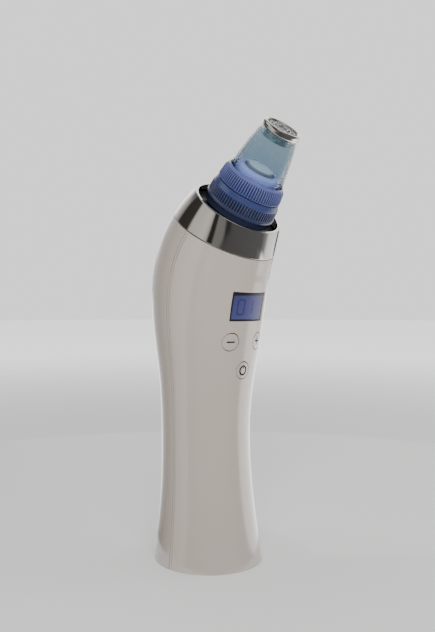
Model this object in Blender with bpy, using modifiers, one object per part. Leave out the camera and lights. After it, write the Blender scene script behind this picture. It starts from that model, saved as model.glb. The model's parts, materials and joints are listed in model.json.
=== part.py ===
"""Blackhead vacuum extractor: a hand-held pore cleaner, standing on its base.

The row frame has +Z up, the display and buttons facing -Y, and X = 0 as the plane of symmetry. The origin is
the middle of the flat base. Sizes below are in millimetres and are turned into metres where a shape is made.
"""

import math

import bmesh
import bpy
import numpy as np
from mathutils import Matrix, Vector

MM = 0.001
GAP = 0.3  # clearance between pieces that rest on each other

# Housing: (height, offset to the back, lean to the front in degrees, half depth, half width) of each section.
SECTIONS = (
    (-2.0, -0.1, -1.7, 25.8, 25.3),
    (0.0, 0.0, -1.7, 25.5, 25.0),
    (20.8, 0.6, -1.7, 22.6, 22.7),
    (41.6, 1.2, -1.5, 20.8, 21.2),
    (52.0, 1.45, -1.2, 20.4, 20.9),
    (62.4, 1.55, 0.1, 20.3, 21.0),
    (83.2, 1.0, 2.3, 21.5, 22.35),
    (104.0, 0.4, 1.1, 24.3, 25.0),
    (124.7, -0.6, 7.3, 26.8, 26.05),
    (134.9, -2.6, 15.7, 27.2, 25.55),
    (144.5, -6.5, 28.8, 26.5, 24.55),
    (150.55, -10.25, 34.0, 25.15, 23.7),
    (157.45, -15.25, 37.6, 22.5, 22.65),
    (162.1, -18.95, 39.2, 19.8, 21.95),
    (165.5, -21.75, 39.6, 17.3, 21.5),
)
PARTING_POINT, PARTING_LEAN_DEG = (0.0, -10.25, 150.55), 30.6
SHELL_TOP, COLLAR_BOTTOM = 154.0, 147.5
SHELL_WALL, COLLAR_WALL = 2.0, 1.4
SEAM_HALF_GAP_DEG = 0.7
SHELL_RINGS, SHELL_SEGMENTS = 17, 24
COLLAR_RINGS, COLLAR_SEGMENTS = 6, 48

# Head: its own frame, centred on the collar's rim, with its axis leaning over the display side.
HEAD_CENTRE = (0.0, -18.9, 162.1)
HEAD_LEAN_DEG = 38.0
ROUND_STEPS = 36
RIB_COUNT = 54
RIB_DEPTH = 0.5

# Controls on the front shell.
WINDOW_WIDTH = 21.5
WINDOW_BOTTOM, WINDOW_TOP = 111.9, 123.9
WINDOW_RECESS, WINDOW_THICKNESS = 0.5, 1.3
DISPLAY_CENTRE, DISPLAY_LEAN_DEG = (0.0, -19.6, 119.0), 11.5
BUTTON_RADIUS = 3.85
BUTTON_HOLE_RADIUS = 4.1
BUTTON_TRAVEL = 0.5
LEVEL_BUTTON_X, LEVEL_BUTTON_Z = 8.7, 102.6
POWER_BUTTON_Z = 89.6
BUTTONS = {
    "minus": (-LEVEL_BUTTON_X, LEVEL_BUTTON_Z),
    "plus": (LEVEL_BUTTON_X, LEVEL_BUTTON_Z),
    "power": (0.0, POWER_BUTTON_Z),
}

# Inner layout, front to back.
FLANGE_FRONT_Y, FLANGE_BACK_Y = -17.1, -16.2
STEM_END_Y = -15.6
BOARD_FRONT_Y, BOARD_BACK_Y = -11.0, -9.4
BOARD_HALF_WIDTH = 14.0
BOARD_BOTTOM, BOARD_TOP = 84.0, 134.0
BOARD_SCREW_X, BOARD_SCREW_Z = 11.3, 130.5
CHASSIS_FRONT_Y, CHASSIS_BACK_Y = -7.5, -5.7
CHASSIS_HALF_WIDTH = 14.0
CHASSIS_BOTTOM, CHASSIS_TOP = 3.2, 133.0
BASE_SCREW_X, BASE_SCREW_Y = 10.0, -6.6
PUMP_Y = 7.2
MOTOR_RADIUS = 12.0
MOTOR_BOTTOM, MOTOR_TOP = 76.0, 102.0
BATTERY_Y, BATTERY_RADIUS = 3.0, 7.1
BATTERY_BOTTOM, BATTERY_TOP = 12.0, 62.0
USB_Y = 12.0
SPIGOT_X = 4.5

COVER_THICKNESS = 2.3

FINISHES = {  # name: (colour, roughness, metallic)
    "white_plastic": ((0.80, 0.77, 0.74), 0.28, 0.0),
    "chrome": ((0.78, 0.76, 0.73), 0.08, 1.0),
    "black_plastic": ((0.02, 0.02, 0.022), 0.45, 0.0),
    "blue_plastic": ((0.08, 0.14, 0.55), 0.18, 0.0),
    "clear_plastic": ((0.16, 0.27, 0.32), 0.08, 0.0),
    "frosted_plastic": ((0.50, 0.54, 0.80), 0.35, 0.0),
    "sponge": ((0.86, 0.86, 0.88), 0.95, 0.0),
    "steel": ((0.72, 0.70, 0.67), 0.22, 1.0),
    "display_glass": ((0.10, 0.12, 0.30), 0.08, 0.0),
    "display_blue": ((0.16, 0.18, 0.52), 0.30, 0.0),
    "circuit_board": ((0.03, 0.18, 0.09), 0.50, 0.0),
    "black_rubber": ((0.03, 0.03, 0.03), 0.75, 0.0),
    "silicone": ((0.78, 0.80, 0.80), 0.40, 0.0),
    "battery_wrap": ((0.10, 0.22, 0.50), 0.35, 0.0),
    "red_lead": ((0.55, 0.03, 0.03), 0.45, 0.0),
}


def clear_scene():
    for item in list(bpy.data.objects):
        bpy.data.objects.remove(item, do_unlink=True)


def make_collection(name):
    collection = bpy.data.collections.new(name)
    bpy.context.scene.collection.children.link(collection)
    return collection


def make_finish(name):
    colour, roughness, metallic = FINISHES[name]
    material = bpy.data.materials.new(name)
    material.use_nodes = True
    shader = material.node_tree.nodes["Principled BSDF"]
    shader.inputs["Base Color"].default_value = (*colour, 1.0)
    shader.inputs["Roughness"].default_value = roughness
    shader.inputs["Metallic"].default_value = metallic
    return material


def head_matrix():
    """Places the head's own frame in the row frame."""
    place = Matrix.Translation(Vector(HEAD_CENTRE) * MM)
    return place @ Matrix.Rotation(math.radians(HEAD_LEAN_DEG), 4, "X")


def head_point(height, side=0.0, front=0.0):
    """A point of the head's frame, in millimetres of the row frame."""
    point = head_matrix() @ (Vector((side, -front, height)) * MM)
    return point / MM


class Workshop:
    """Holds the collections and finishes, and makes each named piece."""

    def __init__(self):
        self.parts = make_collection("vacuum_extractor")
        self.cutters = make_collection("cutters")
        self.cutters.hide_render = True
        self.finishes = {name: make_finish(name) for name in FINISHES}
        self.head = bpy.data.objects.new("head_frame", None)
        self.head.matrix_world = head_matrix()
        self.parts.objects.link(self.head)

    def add(self, name, mesh, finish, on_head=False):
        piece = bpy.data.objects.new(name, mesh)
        self.parts.objects.link(piece)
        piece.data.materials.append(self.finishes[finish])
        if on_head:
            piece.parent = self.head
        return piece

    def cutter(self, name, mesh, on_head=False):
        piece = bpy.data.objects.new(name, mesh)
        self.cutters.objects.link(piece)
        piece.hide_render = True
        piece.display_type = "WIRE"
        if on_head:
            piece.parent = self.head
        return piece


def box_mesh(name, low, high):
    """A box between two corners in millimetres."""
    low, high = Vector(low) * MM, Vector(high) * MM
    shape = bmesh.new()
    size = Matrix.Diagonal((*(high - low), 1.0))
    bmesh.ops.create_cube(shape, size=1.0, matrix=Matrix.Translation((low + high) / 2) @ size)
    return finish_mesh(shape, name)


def rod_mesh(name, start, end, radius, segments=20, end_radius=None):
    """A cylinder or a cone between two points in millimetres."""
    start, end = Vector(start) * MM, Vector(end) * MM
    along = end - start
    turn = along.to_track_quat("Z", "Y").to_matrix().to_4x4()
    shape = bmesh.new()
    bmesh.ops.create_cone(
        shape,
        cap_ends=True,
        segments=segments,
        radius1=radius * MM,
        radius2=(radius if end_radius is None else end_radius) * MM,
        depth=along.length,
        matrix=Matrix.Translation((start + end) / 2) @ turn,
    )
    return finish_mesh(shape, name)


def finish_mesh(shape, name):
    mesh = bpy.data.meshes.new(name)
    shape.to_mesh(mesh)
    shape.free()
    return mesh


def turn_profile(piece, steps=ROUND_STEPS):
    """Revolves a piece's profile about its own Z axis."""
    screw = piece.modifiers.new("turn", "SCREW")
    screw.steps = steps
    screw.render_steps = steps
    screw.use_merge_vertices = True
    screw.merge_threshold = 0.00001
    return piece


def profile_mesh(name, points, closed, centre=(0.0, 0.0)):
    """A profile of (radius, height) points. The outer side runs from top to bottom."""
    shape = bmesh.new()
    verts = [shape.verts.new((radius * MM, 0.0, height * MM)) for radius, height in points]
    pairs = list(zip(verts, verts[1:]))
    if closed:
        pairs.append((verts[-1], verts[0]))
    for first, second in pairs:
        shape.edges.new((first, second))
    return finish_mesh(shape, name)


def turned(shop, name, points, finish, closed=True, on_head=False, axis=(0.0, 0.0), steps=ROUND_STEPS):
    """A turned piece about the head's axis, or about an upright axis at (x, y)."""
    piece = shop.add(name, profile_mesh(name, points, closed), finish, on_head)
    if not on_head:
        piece.location = (axis[0] * MM, axis[1] * MM, 0.0)
    return turn_profile(piece, steps)


def apply_modifiers(piece):
    """Gives a piece the mesh that its modifiers make, so that it can be cut or joined."""
    graph = bpy.context.evaluated_depsgraph_get()
    mesh = bpy.data.meshes.new_from_object(piece.evaluated_get(graph))
    piece.modifiers.clear()
    piece.data = mesh
    return piece


def combine(piece, other, operation):
    change = piece.modifiers.new(other.name, "BOOLEAN")
    change.operation = operation
    change.object = other
    change.solver = "EXACT"
    return piece


def cut(shop, piece, mesh, on_head=False):
    return combine(piece, shop.cutter("cut_" + mesh.name, mesh, on_head), "DIFFERENCE")


def join(shop, piece, mesh, on_head=False):
    return combine(piece, shop.cutter("join_" + mesh.name, mesh, on_head), "UNION")


def spline(knots, values, at):
    """A natural cubic spline through (knots, values), read at the given places."""
    knots, values = np.array(knots, float), np.array(values, float)
    step = np.diff(knots)
    slope = np.diff(values) / step
    size = len(knots)
    matrix = np.eye(size)
    right = np.zeros(size)
    for i in range(1, size - 1):
        matrix[i, i - 1 : i + 2] = step[i - 1], 2 * (step[i - 1] + step[i]), step[i]
        right[i] = 6 * (slope[i] - slope[i - 1])
    bend = np.linalg.solve(matrix, right)
    span = np.clip(np.searchsorted(knots, at) - 1, 0, size - 2)
    after, before = at - knots[span], knots[span + 1] - at
    width = step[span]
    curved = (bend[span] * before**3 + bend[span + 1] * after**3) / (6 * width)
    start = (values[span] / width - bend[span] * width / 6) * before
    end = (values[span + 1] / width - bend[span + 1] * width / 6) * after
    return curved + start + end


def sections_at(heights):
    """Smooth cross-sections of the housing at the given heights."""
    columns = list(zip(*SECTIONS))
    return list(zip(heights, *(spline(columns[0], column, heights) for column in columns[1:])))


def sections_between(low, high, count):
    return sections_at(np.linspace(low, high, count))


def section_ring(section, angles, inset=0.0):
    """Points of one cross-section. Angle 0 is the front, and 90 degrees is the +X side."""
    height, back, lean, depth, width = section
    front = Vector((0.0, -math.cos(math.radians(lean)), -math.sin(math.radians(lean))))
    side = Vector((1.0, 0.0, 0.0))
    centre = Vector((0.0, back, height))
    return [
        (centre + front * (depth - inset) * math.cos(a) + side * (width - inset) * math.sin(a)) * MM
        for a in angles
    ]


def loft(name, rings, round_about, capped=False):
    """Faces between rings of points, which run upwards. Closed rings may get end faces."""
    shape = bmesh.new()
    rows = [[shape.verts.new(point) for point in ring] for ring in rings]
    for lower, upper in zip(rows, rows[1:]):
        count = len(lower)
        for i in range(count if round_about else count - 1):
            j = (i + 1) % count
            shape.faces.new((lower[i], lower[j], upper[j], upper[i]))
    if capped:
        shape.faces.new(list(reversed(rows[0])))
        shape.faces.new(rows[-1])
    return finish_mesh(shape, name)


def thicken(piece, wall):
    """Gives an open surface its wall, on the inner side."""
    solid = piece.modifiers.new("wall", "SOLIDIFY")
    solid.thickness = wall * MM
    solid.offset = -1.0
    solid.use_even_offset = True
    return piece


def full_turn(segments):
    return [2 * math.pi * i / segments for i in range(segments)]


def half_turn(start_deg, end_deg, segments):
    start, end = math.radians(start_deg), math.radians(end_deg)
    return [start + (end - start) * i / segments for i in range(segments + 1)]


def half_space(name, point, lean_deg, side):
    """A block that ends on a leaning plane: above it where side is 1, below it where side is -1."""
    block = bmesh.new()
    place = Matrix.Translation(Vector(point) * MM) @ Matrix.Rotation(math.radians(lean_deg), 4, "X")
    shape = Matrix.Translation((0.0, 0.0, side * 20 * MM)) @ Matrix.Diagonal((90 * MM, 110 * MM, 40 * MM, 1.0))
    bmesh.ops.create_cube(block, size=1.0, matrix=place @ shape)
    return finish_mesh(block, name)


def parting_plane(name, side, gap=0.0):
    """The half space on one side of the joint between the shells and the collar."""
    lean = math.radians(PARTING_LEAN_DEG)
    point = Vector(PARTING_POINT) + Vector((0.0, -math.sin(lean), math.cos(lean))) * gap
    return half_space(name, point, PARTING_LEAN_DEG, side)


def make_shells(shop):
    """The front and back halves of the housing, which meet at a seam down each side."""
    sections = sections_between(-1.5, SHELL_TOP, SHELL_RINGS)
    gap = SEAM_HALF_GAP_DEG
    front = half_turn(-90 + gap, 90 - gap, SHELL_SEGMENTS)
    back = half_turn(90 + gap, 270 - gap, SHELL_SEGMENTS)
    shells = {}
    for name, angles in (("front_shell", front), ("back_shell", back)):
        rings = [section_ring(section, angles) for section in sections]
        shell = thicken(shop.add(name, loft(name, rings, False), "white_plastic"), SHELL_WALL)
        cut(shop, shell, parting_plane(name + "_top", 1))
        cut(shop, shell, half_space(name + "_base", (0.0, 0.0, 0.0), 0.0, -1))
        shells[name] = shell
    return shells


def outer_form(shop, name):
    """The outside of the housing's front as one solid, which gives the buttons their faces."""
    angles = half_turn(-75, 75, SHELL_SEGMENTS)
    rings = []
    for section in sections_between(80.0, 112.0, 7):
        behind = section_ring(section, (math.radians(140), math.radians(-140)))
        rings.append(section_ring(section, angles) + behind)
    return shop.cutter(name, loft(name, rings, True, capped=True))


def make_window(shop, front_shell):
    """The opening for the display, and the curved pane set just below the housing's face in it."""
    half = WINDOW_WIDTH / 2
    low, high = (-half, -34.0, WINDOW_BOTTOM), (half, -20.0, WINDOW_TOP)
    cut(shop, front_shell, box_mesh("window_opening", low, high))
    sections = sections_between(WINDOW_BOTTOM - 2.0, WINDOW_TOP + 7.0, 7)
    rings = [section_ring(section, half_turn(-33, 33, 10), WINDOW_RECESS) for section in sections]
    pane = shop.add("display_window", loft("display_window", rings, False), "display_glass")
    thicken(pane, WINDOW_THICKNESS)
    edge = Vector((GAP, 0.0, GAP))
    outline = box_mesh("pane_outline", Vector(low) + edge, Vector(high) - edge)
    combine(pane, shop.cutter("pane_outline", outline), "INTERSECT")


def make_buttons(shop, front_shell):
    """The three buttons, each with the housing's own curve on its face and a flange behind the wall."""
    form = outer_form(shop, "outer_form")
    for name, (x, z) in BUTTONS.items():
        hole = rod_mesh(name + "_hole", (x, -34, z), (x, -16, z), BUTTON_HOLE_RADIUS, 28)
        cut(shop, front_shell, hole)
        cap = rod_mesh(name + "_button", (x, -34, z), (x, FLANGE_FRONT_Y + 0.2, z), BUTTON_RADIUS, 28)
        button = combine(shop.add(name + "_button", cap, "white_plastic"), form, "INTERSECT")
        flange = rod_mesh(name + "_flange", (x, FLANGE_FRONT_Y, z), (x, FLANGE_BACK_Y, z), 4.7, 20)
        stem = rod_mesh(name + "_stem", (x, FLANGE_BACK_Y - 0.2, z), (x, STEM_END_Y, z), 1.5, 12)
        join(shop, join(shop, button, flange), stem)


def make_switches(shop):
    """A push switch on the control board behind each button: a body and the plunger that travels in it."""
    for name, (x, z) in BUTTONS.items():
        low = (x - 3.0, -14.7, z - 3.0)
        high = (x + 3.0, BOARD_FRONT_Y - GAP, z + 3.0)
        body = shop.add(name + "_switch", box_mesh(name + "_switch", low, high), "black_plastic")
        cut(shop, body, rod_mesh(name + "_well", (x, -16, z), (x, -12.1, z), 1.9, 16))
        plunger = rod_mesh(name + "_plunger", (x, STEM_END_Y + GAP, z), (x, -12.9, z), 1.55, 16)
        shop.add(name + "_plunger", plunger, "black_plastic")


def make_display(shop):
    """The display module behind the window, and the black frame that holds it. Both lean with the window."""
    place = Matrix.Translation(Vector(DISPLAY_CENTRE) * MM)
    place = place @ Matrix.Rotation(math.radians(DISPLAY_LEAN_DEG), 4, "X")
    frame_low, frame_high = (-12.2, 0.0, -7.6), (12.2, 4.6, 7.6)
    frame = shop.add("display_frame", box_mesh("display_frame", frame_low, frame_high), "black_plastic")
    pocket = box_mesh("display_pocket", (-11.3, 0.8, -6.7), (11.3, 6.0, 6.7))
    view = box_mesh("display_view", (-10.3, -2.0, -5.7), (10.3, 2.0, 5.7))
    module_mesh = box_mesh("display_module", (-11.0, 1.1, -6.4), (11.0, 4.2, 6.4))
    module = shop.add("display_module", module_mesh, "display_blue")
    for cutter_mesh in (pocket, view):
        cutter_mesh.transform(place)
        cut(shop, frame, cutter_mesh)
    for piece in (frame, module):
        piece.data.transform(place)


def make_control_board(shop):
    low = (-BOARD_HALF_WIDTH, BOARD_FRONT_Y, BOARD_BOTTOM)
    high = (BOARD_HALF_WIDTH, BOARD_BACK_Y, BOARD_TOP)
    board = shop.add("control_board", box_mesh("control_board", low, high), "circuit_board")
    for side, name in ((-1, "left"), (1, "right")):
        x, z = side * BOARD_SCREW_X, BOARD_SCREW_Z
        cut(shop, board, rod_mesh("board_hole_" + name, (x, -13, z), (x, -7, z), 1.25, 16))
        screw_upright = (x, -12.6, z), (x, BOARD_FRONT_Y - GAP, z), (x, -6.4, z)
        make_screw(shop, "board_screw_" + name, *screw_upright, 1.9, 0.9)


def make_screw(shop, name, head_end, head_seat, tip, head_radius, shank_radius):
    """A round-headed screw: its head between two points, and its shank on to the tip."""
    head = rod_mesh(name, head_end, head_seat, head_radius, 16)
    screw = shop.add(name, head, "steel")
    inwards = (Vector(head_end) - Vector(head_seat)).normalized() * 0.4
    join(shop, screw, rod_mesh(name + "_shank", Vector(head_seat) + inwards, tip, shank_radius, 12))
    middle = Vector(head_end)
    reach = head_radius * 0.7
    slot = Vector((reach, 0.3, 0.4)) if inwards.z else Vector((reach, 0.4, 0.3))
    cut(shop, screw, box_mesh(name + "_slot", middle - slot, middle + slot))


def make_chassis(shop):
    """The inner frame plate, with cradles for the pump and the battery, board posts and base screw bosses."""
    low = (-CHASSIS_HALF_WIDTH, CHASSIS_FRONT_Y, CHASSIS_BOTTOM)
    high = (CHASSIS_HALF_WIDTH, CHASSIS_BACK_Y, CHASSIS_TOP)
    chassis = shop.add("chassis", box_mesh("chassis", low, high), "white_plastic")
    overlap = 0.5
    for index, z in enumerate((78.0, 99.2)):
        low, high = (-13.6, CHASSIS_BACK_Y - overlap, z), (13.6, 1.0, z + 2.4)
        join(shop, chassis, box_mesh(f"pump_cradle_{index}", low, high))
    for index, z in enumerate((20.0, 50.0)):
        low, high = (-9.0, CHASSIS_BACK_Y - overlap, z), (9.0, 0.5, z + 2.4)
        join(shop, chassis, box_mesh(f"battery_cradle_{index}", low, high))
    for side, name in ((-1, "left"), (1, "right")):
        x, y = side * BASE_SCREW_X, BASE_SCREW_Y
        boss = rod_mesh("base_boss_" + name, (x, y, CHASSIS_BOTTOM - 0.3), (x, y, 14.0), 3.0, 20)
        join(shop, chassis, boss)
        x, z = side * BOARD_SCREW_X, BOARD_SCREW_Z
        post_end = (x, CHASSIS_FRONT_Y + overlap, z)
        post = rod_mesh("board_post_" + name, (x, BOARD_BACK_Y + GAP, z), post_end, 2.2, 16)
        join(shop, chassis, post)
    bore = MOTOR_RADIUS + GAP
    cut(shop, chassis, rod_mesh("pump_bore", (0, PUMP_Y, 70), (0, PUMP_Y, 110), bore, 40))
    bore = BATTERY_RADIUS + GAP
    cut(shop, chassis, rod_mesh("battery_bore", (0, BATTERY_Y, 10), (0, BATTERY_Y, 66), bore, 32))
    for side, name in ((-1, "left"), (1, "right")):
        x, y = side * BASE_SCREW_X, BASE_SCREW_Y
        cut(shop, chassis, rod_mesh("base_pilot_" + name, (x, y, 0), (x, y, 12.5), 1.3, 12))
        x, z = side * BOARD_SCREW_X, BOARD_SCREW_Z
        cut(shop, chassis, rod_mesh("board_pilot_" + name, (x, -12, z), (x, -4, z), 1.2, 12))


def make_pump(shop):
    """A motor and a wobble-plate diaphragm pump on top of it, on one upright axis behind the board."""
    axis = (0.0, PUMP_Y)
    top, bottom, wall = MOTOR_TOP, MOTOR_BOTTOM, 0.8
    inside = MOTOR_RADIUS - wall
    can = [
        (1.08, top), (MOTOR_RADIUS, top), (MOTOR_RADIUS, bottom), (inside, bottom), (inside, top - wall),
        (1.08, top - wall),
    ]
    turned(shop, "motor_can", can, "steel", axis=axis)
    low = bottom - GAP
    cap = [(0.0, low), (11.6, low), (11.6, low - 3.2), (4.0, low - 3.2), (4.0, low - 4.7), (0.0, low - 4.7)]
    turned(shop, "motor_end_cap", cap, "black_plastic", closed=False, axis=axis)
    shaft = [(0.0, 107.5), (1.0, 107.5), (1.0, bottom + 0.3), (0.0, bottom + 0.3)]
    turned(shop, "motor_shaft", shaft, "steel", closed=False, axis=axis, steps=16)
    armature = [(1.3, 97.0), (8.6, 97.0), (8.6, 82.0), (1.3, 82.0)]
    turned(shop, "motor_armature", armature, "steel", axis=axis, steps=24)
    frame = [(12.6, 112.0), (12.6, 102.3), (3.0, 102.3), (3.0, 103.8), (11.2, 103.8), (11.2, 112.0)]
    turned(shop, "pump_frame", frame, "white_plastic", axis=axis)
    cam = [(1.3, 108.6), (5.0, 108.6), (5.0, 104.4), (1.3, 104.4)]
    eccentric = turned(shop, "eccentric", cam, "white_plastic", axis=axis, steps=24)
    apply_modifiers(eccentric)
    offset = 3.0
    pin_low, pin_high = (0, PUMP_Y - offset, 105.6), (0, PUMP_Y - 0.4, 111.6)
    below = Vector(pin_low) + (Vector(pin_low) - Vector(pin_high)) * 0.05
    eccentric.matrix_world = Matrix.Translation(Vector((*axis, 0.0)) * MM)
    cut(shop, eccentric, rod_mesh("pin_well", below, pin_high, 0.95, 12))
    shop.add("drive_pin", rod_mesh("drive_pin", pin_low, pin_high, 0.6, 12), "steel")
    plate = [(2.2, 111.7), (9.6, 111.7), (9.6, 110.4), (4.0, 109.6), (2.2, 109.6)]
    turned(shop, "swing_plate", plate, "white_plastic", axis=axis, steps=32)
    rubber = [(0.0, 114.0), (12.6, 114.0), (12.6, 112.3), (10.4, 112.3), (10.4, 112.9), (0.0, 112.9)]
    turned(shop, "diaphragm", rubber, "black_rubber", closed=False, axis=axis)
    valves = [(0.0, 116.0), (12.6, 116.0), (12.6, 114.3), (0.0, 114.3)]
    valve_plate = turned(shop, "valve_plate", valves, "white_plastic", closed=False, axis=axis)
    cover = [(0.0, 120.5), (11.6, 120.5), (12.6, 119.5), (12.6, 116.3), (10.8, 116.3), (10.8, 118.6), (0.0, 118.6)]
    pump_cover = turned(shop, "pump_cover", cover, "black_plastic", closed=False, axis=axis)
    apply_modifiers(valve_plate)
    apply_modifiers(pump_cover)
    for piece in (valve_plate, pump_cover):
        piece.matrix_world = Matrix.Translation(Vector((*axis, 0.0)) * MM)
    for index in range(3):
        turn = math.radians(90 + 120 * index)
        x, y = 6.0 * math.cos(turn), PUMP_Y + 6.0 * math.sin(turn)
        cut(shop, valve_plate, rod_mesh(f"valve_port_{index}", (x, y, 112), (x, y, 118), 1.2, 12))
    for side, name in ((-1, "outlet"), (1, "inlet")):
        x = side * SPIGOT_X
        join(shop, pump_cover, rod_mesh(name + "_spigot", (x, PUMP_Y, 119.5), (x, PUMP_Y, 127.0), 1.5, 16))
    for side, name in ((-1, "outlet"), (1, "inlet")):
        x = side * SPIGOT_X
        cut(shop, pump_cover, rod_mesh(name + "_bore", (x, PUMP_Y, 116), (x, PUMP_Y, 129), 0.8, 12))


def curve_points(route, count):
    """Points along a smooth curve through a route, in millimetres."""
    route = np.array(route, float)
    along = np.concatenate([[0.0], np.cumsum(np.linalg.norm(np.diff(route, axis=0), axis=1))])
    at = np.linspace(0.0, along[-1], count)
    return np.stack([spline(along, route[:, i], at) for i in range(3)], axis=1)


def tube(shop, name, route, radius, finish, count, bore=0.0):
    """A flexible tube or an insulated lead along a route. A bore makes it hollow."""
    data = bpy.data.curves.new(name, "CURVE")
    data.dimensions = "3D"
    data.bevel_depth = radius * MM
    data.bevel_resolution = 2
    data.use_fill_caps = bore == 0.0
    line = data.splines.new("POLY")
    points = curve_points(route, count)
    line.points.add(len(points) - 1)
    for point, place in zip(line.points, points):
        point.co = (*(place * MM), 1.0)
    if bore == 0.0:
        return shop.add(name, data, finish)
    guide = shop.cutter(name + "_guide", data)
    bpy.context.view_layer.update()
    graph = bpy.context.evaluated_depsgraph_get()
    mesh = bpy.data.meshes.new_from_object(guide.evaluated_get(graph))
    bpy.data.objects.remove(guide)
    return thicken(shop.add(name, mesh, finish), radius - bore)


def make_power(shop):
    """The battery cell, the charging socket on its board, and the leads between the boards and the motor."""
    axis = (0.0, BATTERY_Y)
    top, bottom, radius = BATTERY_TOP, BATTERY_BOTTOM, BATTERY_RADIUS
    cell = [
        (0.0, top + 0.9), (2.4, top + 0.9), (2.4, top), (radius - 0.6, top), (radius, top - 0.6),
        (radius, bottom), (0.0, bottom),
    ]
    turned(shop, "battery", cell, "battery_wrap", closed=False, axis=axis, steps=32)
    low, high = (-9.0, USB_Y + 1.9, 3.0), (9.0, USB_Y + 3.1, 19.0)
    shop.add("charge_board", box_mesh("charge_board", low, high), "circuit_board")
    low, high = (-3.7, USB_Y - 1.4, 0.6), (3.7, USB_Y + 1.4, 6.2)
    socket = shop.add("charge_socket", box_mesh("charge_socket", low, high), "steel")
    low, high = (-3.3, USB_Y - 1.0, -1.0), (3.3, USB_Y + 1.0, 5.2)
    cut(shop, socket, box_mesh("socket_mouth", low, high))
    low, high = (-2.4, USB_Y - 0.4, 1.4), (2.4, USB_Y + 0.3, 5.6)
    join(shop, socket, box_mesh("socket_tongue", low, high))
    for side, name, finish in ((-1, "black", "black_rubber"), (1, "red", "red_lead")):
        route = [(side * 5.5, 4.0, 70.4), (side * 8.6, -0.5, 66.0), (side * 9.6, 1.5, 50.0), (side * 9.6, 6.0, 30.0)]
        route += [(side * 7.0, 10.5, 22.0), (side * 4.0, USB_Y + 0.8, 15.0)]
        tube(shop, "lead_" + name, route, 0.55, finish, 14)


def make_bottom_cover(shop):
    """The base cover: a dished plate with a charging slot, air slots and two countersunk screws."""
    rings = []
    for level, height, inset in ((0, 0.0, 0.0), (1, 5.0, 0.0), (1, 5.0, 1.3), (0, COVER_THICKNESS, 1.3)):
        _, back, _, depth, width = sections_at(np.array([5.0 * level]))[0]
        section = (height, back, 0.0, depth, width)
        rings.append(section_ring(section, full_turn(44), SHELL_WALL + 0.4 + inset))
    cover = shop.add("bottom_cover", loft("bottom_cover", rings, True, capped=True), "white_plastic")
    cut(shop, cover, box_mesh("charge_slot", (-4.4, USB_Y - 2.1, -2), (4.4, USB_Y + 1.75, 4)))
    for index in range(5):
        x = -6.0 + 3.0 * index
        cut(shop, cover, box_mesh(f"air_slot_{index}", (x - 0.6, -19.0, -2), (x + 0.6, -12.0, 4)))
    for side, name in ((-1, "left"), (1, "right")):
        x, y = side * BASE_SCREW_X, BASE_SCREW_Y
        cut(shop, cover, rod_mesh("cover_hole_" + name, (x, y, -2), (x, y, 4), 1.35, 14))
        cut(shop, cover, rod_mesh("cover_seat_" + name, (x, y, -2), (x, y, 1.3), 2.8, 18))
        make_screw(shop, "base_screw_" + name, (x, y, 0.2), (x, y, 1.0), (x, y, 11.5), 2.4, 1.0)


def make_collar(shop):
    """The metal collar between the joint with the shells and the leaning rim."""
    sections = sections_between(COLLAR_BOTTOM, SECTIONS[-1][0], COLLAR_RINGS)
    rings = [section_ring(section, full_turn(COLLAR_SEGMENTS)) for section in sections]
    collar = thicken(shop.add("collar", loft("collar", rings, True), "chrome"), COLLAR_WALL)
    cut(shop, collar, parting_plane("collar_bottom", -1, GAP))
    cut(shop, collar, half_space("collar_rim", HEAD_CENTRE, HEAD_LEAN_DEG, 1))


def make_nozzle(shop):
    """The fixed nozzle in the collar: its black seat, the seal ring, the filter cup and the filter pad."""
    seat = [
        (1.0, 12.6), (8.6, 12.6), (8.6, 6.0), (10.1, 6.0), (10.1, -3.9), (16.5, -3.9), (16.5, -12.0),
        (15.1, -12.0), (15.1, -6.4), (1.6, -6.4), (1.6, -16.5), (1.0, -16.5),
    ]
    nozzle_seat = apply_modifiers(turned(shop, "nozzle_seat", seat, "black_plastic", on_head=True))
    nozzle_seat.matrix_world = head_matrix()
    sections = sections_at(np.array([156.8, 158.8]))
    rings = [section_ring(section, full_turn(COLLAR_SEGMENTS), COLLAR_WALL + 0.8) for section in sections]
    join(shop, nozzle_seat, loft("seat_plate", rings, True, capped=True))
    cut(shop, nozzle_seat, rod_mesh("seat_bore", head_point(-18.0), head_point(14.0), 0.95, 12))
    ring, wire = 11.3, 0.85
    section = [(ring + wire * math.cos(a), 2.0 - wire * math.sin(a)) for a in full_turn(8)]
    turned(shop, "seal_ring", section, "black_rubber", on_head=True)
    cup = [
        (7.1, 19.6), (9.4, 19.4), (10.0, 18.7), (10.4, 12.0), (10.4, 6.3), (8.9, 6.3), (8.9, 12.9),
        (2.0, 12.9), (2.0, 13.9), (7.1, 13.9),
    ]
    turned(shop, "filter_cup", cup, "frosted_plastic", on_head=True)
    pad = [(0.0, 21.3), (5.2, 21.1), (6.1, 20.6), (6.3, 19.9), (6.3, 14.2), (0.0, 14.2)]
    turned(shop, "filter_pad", pad, "sponge", closed=False, on_head=True, steps=28)


def ribbed_ring(shop, name, outside, inside, finish):
    """A ring with grip ribs, from rows of (height, radius, ribbed): the outside upwards, then the inside downwards."""
    points_round = RIB_COUNT * 2
    loops = []
    for height, radius, ribbed in outside + inside:
        depth = RIB_DEPTH if ribbed else 0.0
        radii = [radius - depth * (i % 2) for i in range(points_round)]
        angles = full_turn(points_round)
        loops.append([Vector((r * math.cos(a), r * math.sin(a), height)) * MM for r, a in zip(radii, angles)])
    shape = bmesh.new()
    rows = [[shape.verts.new(point) for point in loop] for loop in loops]
    for lower, upper in zip(rows, rows[1:] + rows[:1]):
        for i in range(points_round):
            j = (i + 1) % points_round
            shape.faces.new((lower[i], lower[j], upper[j], upper[i]))
    return shop.add(name, finish_mesh(shape, name), finish, on_head=True)


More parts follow.
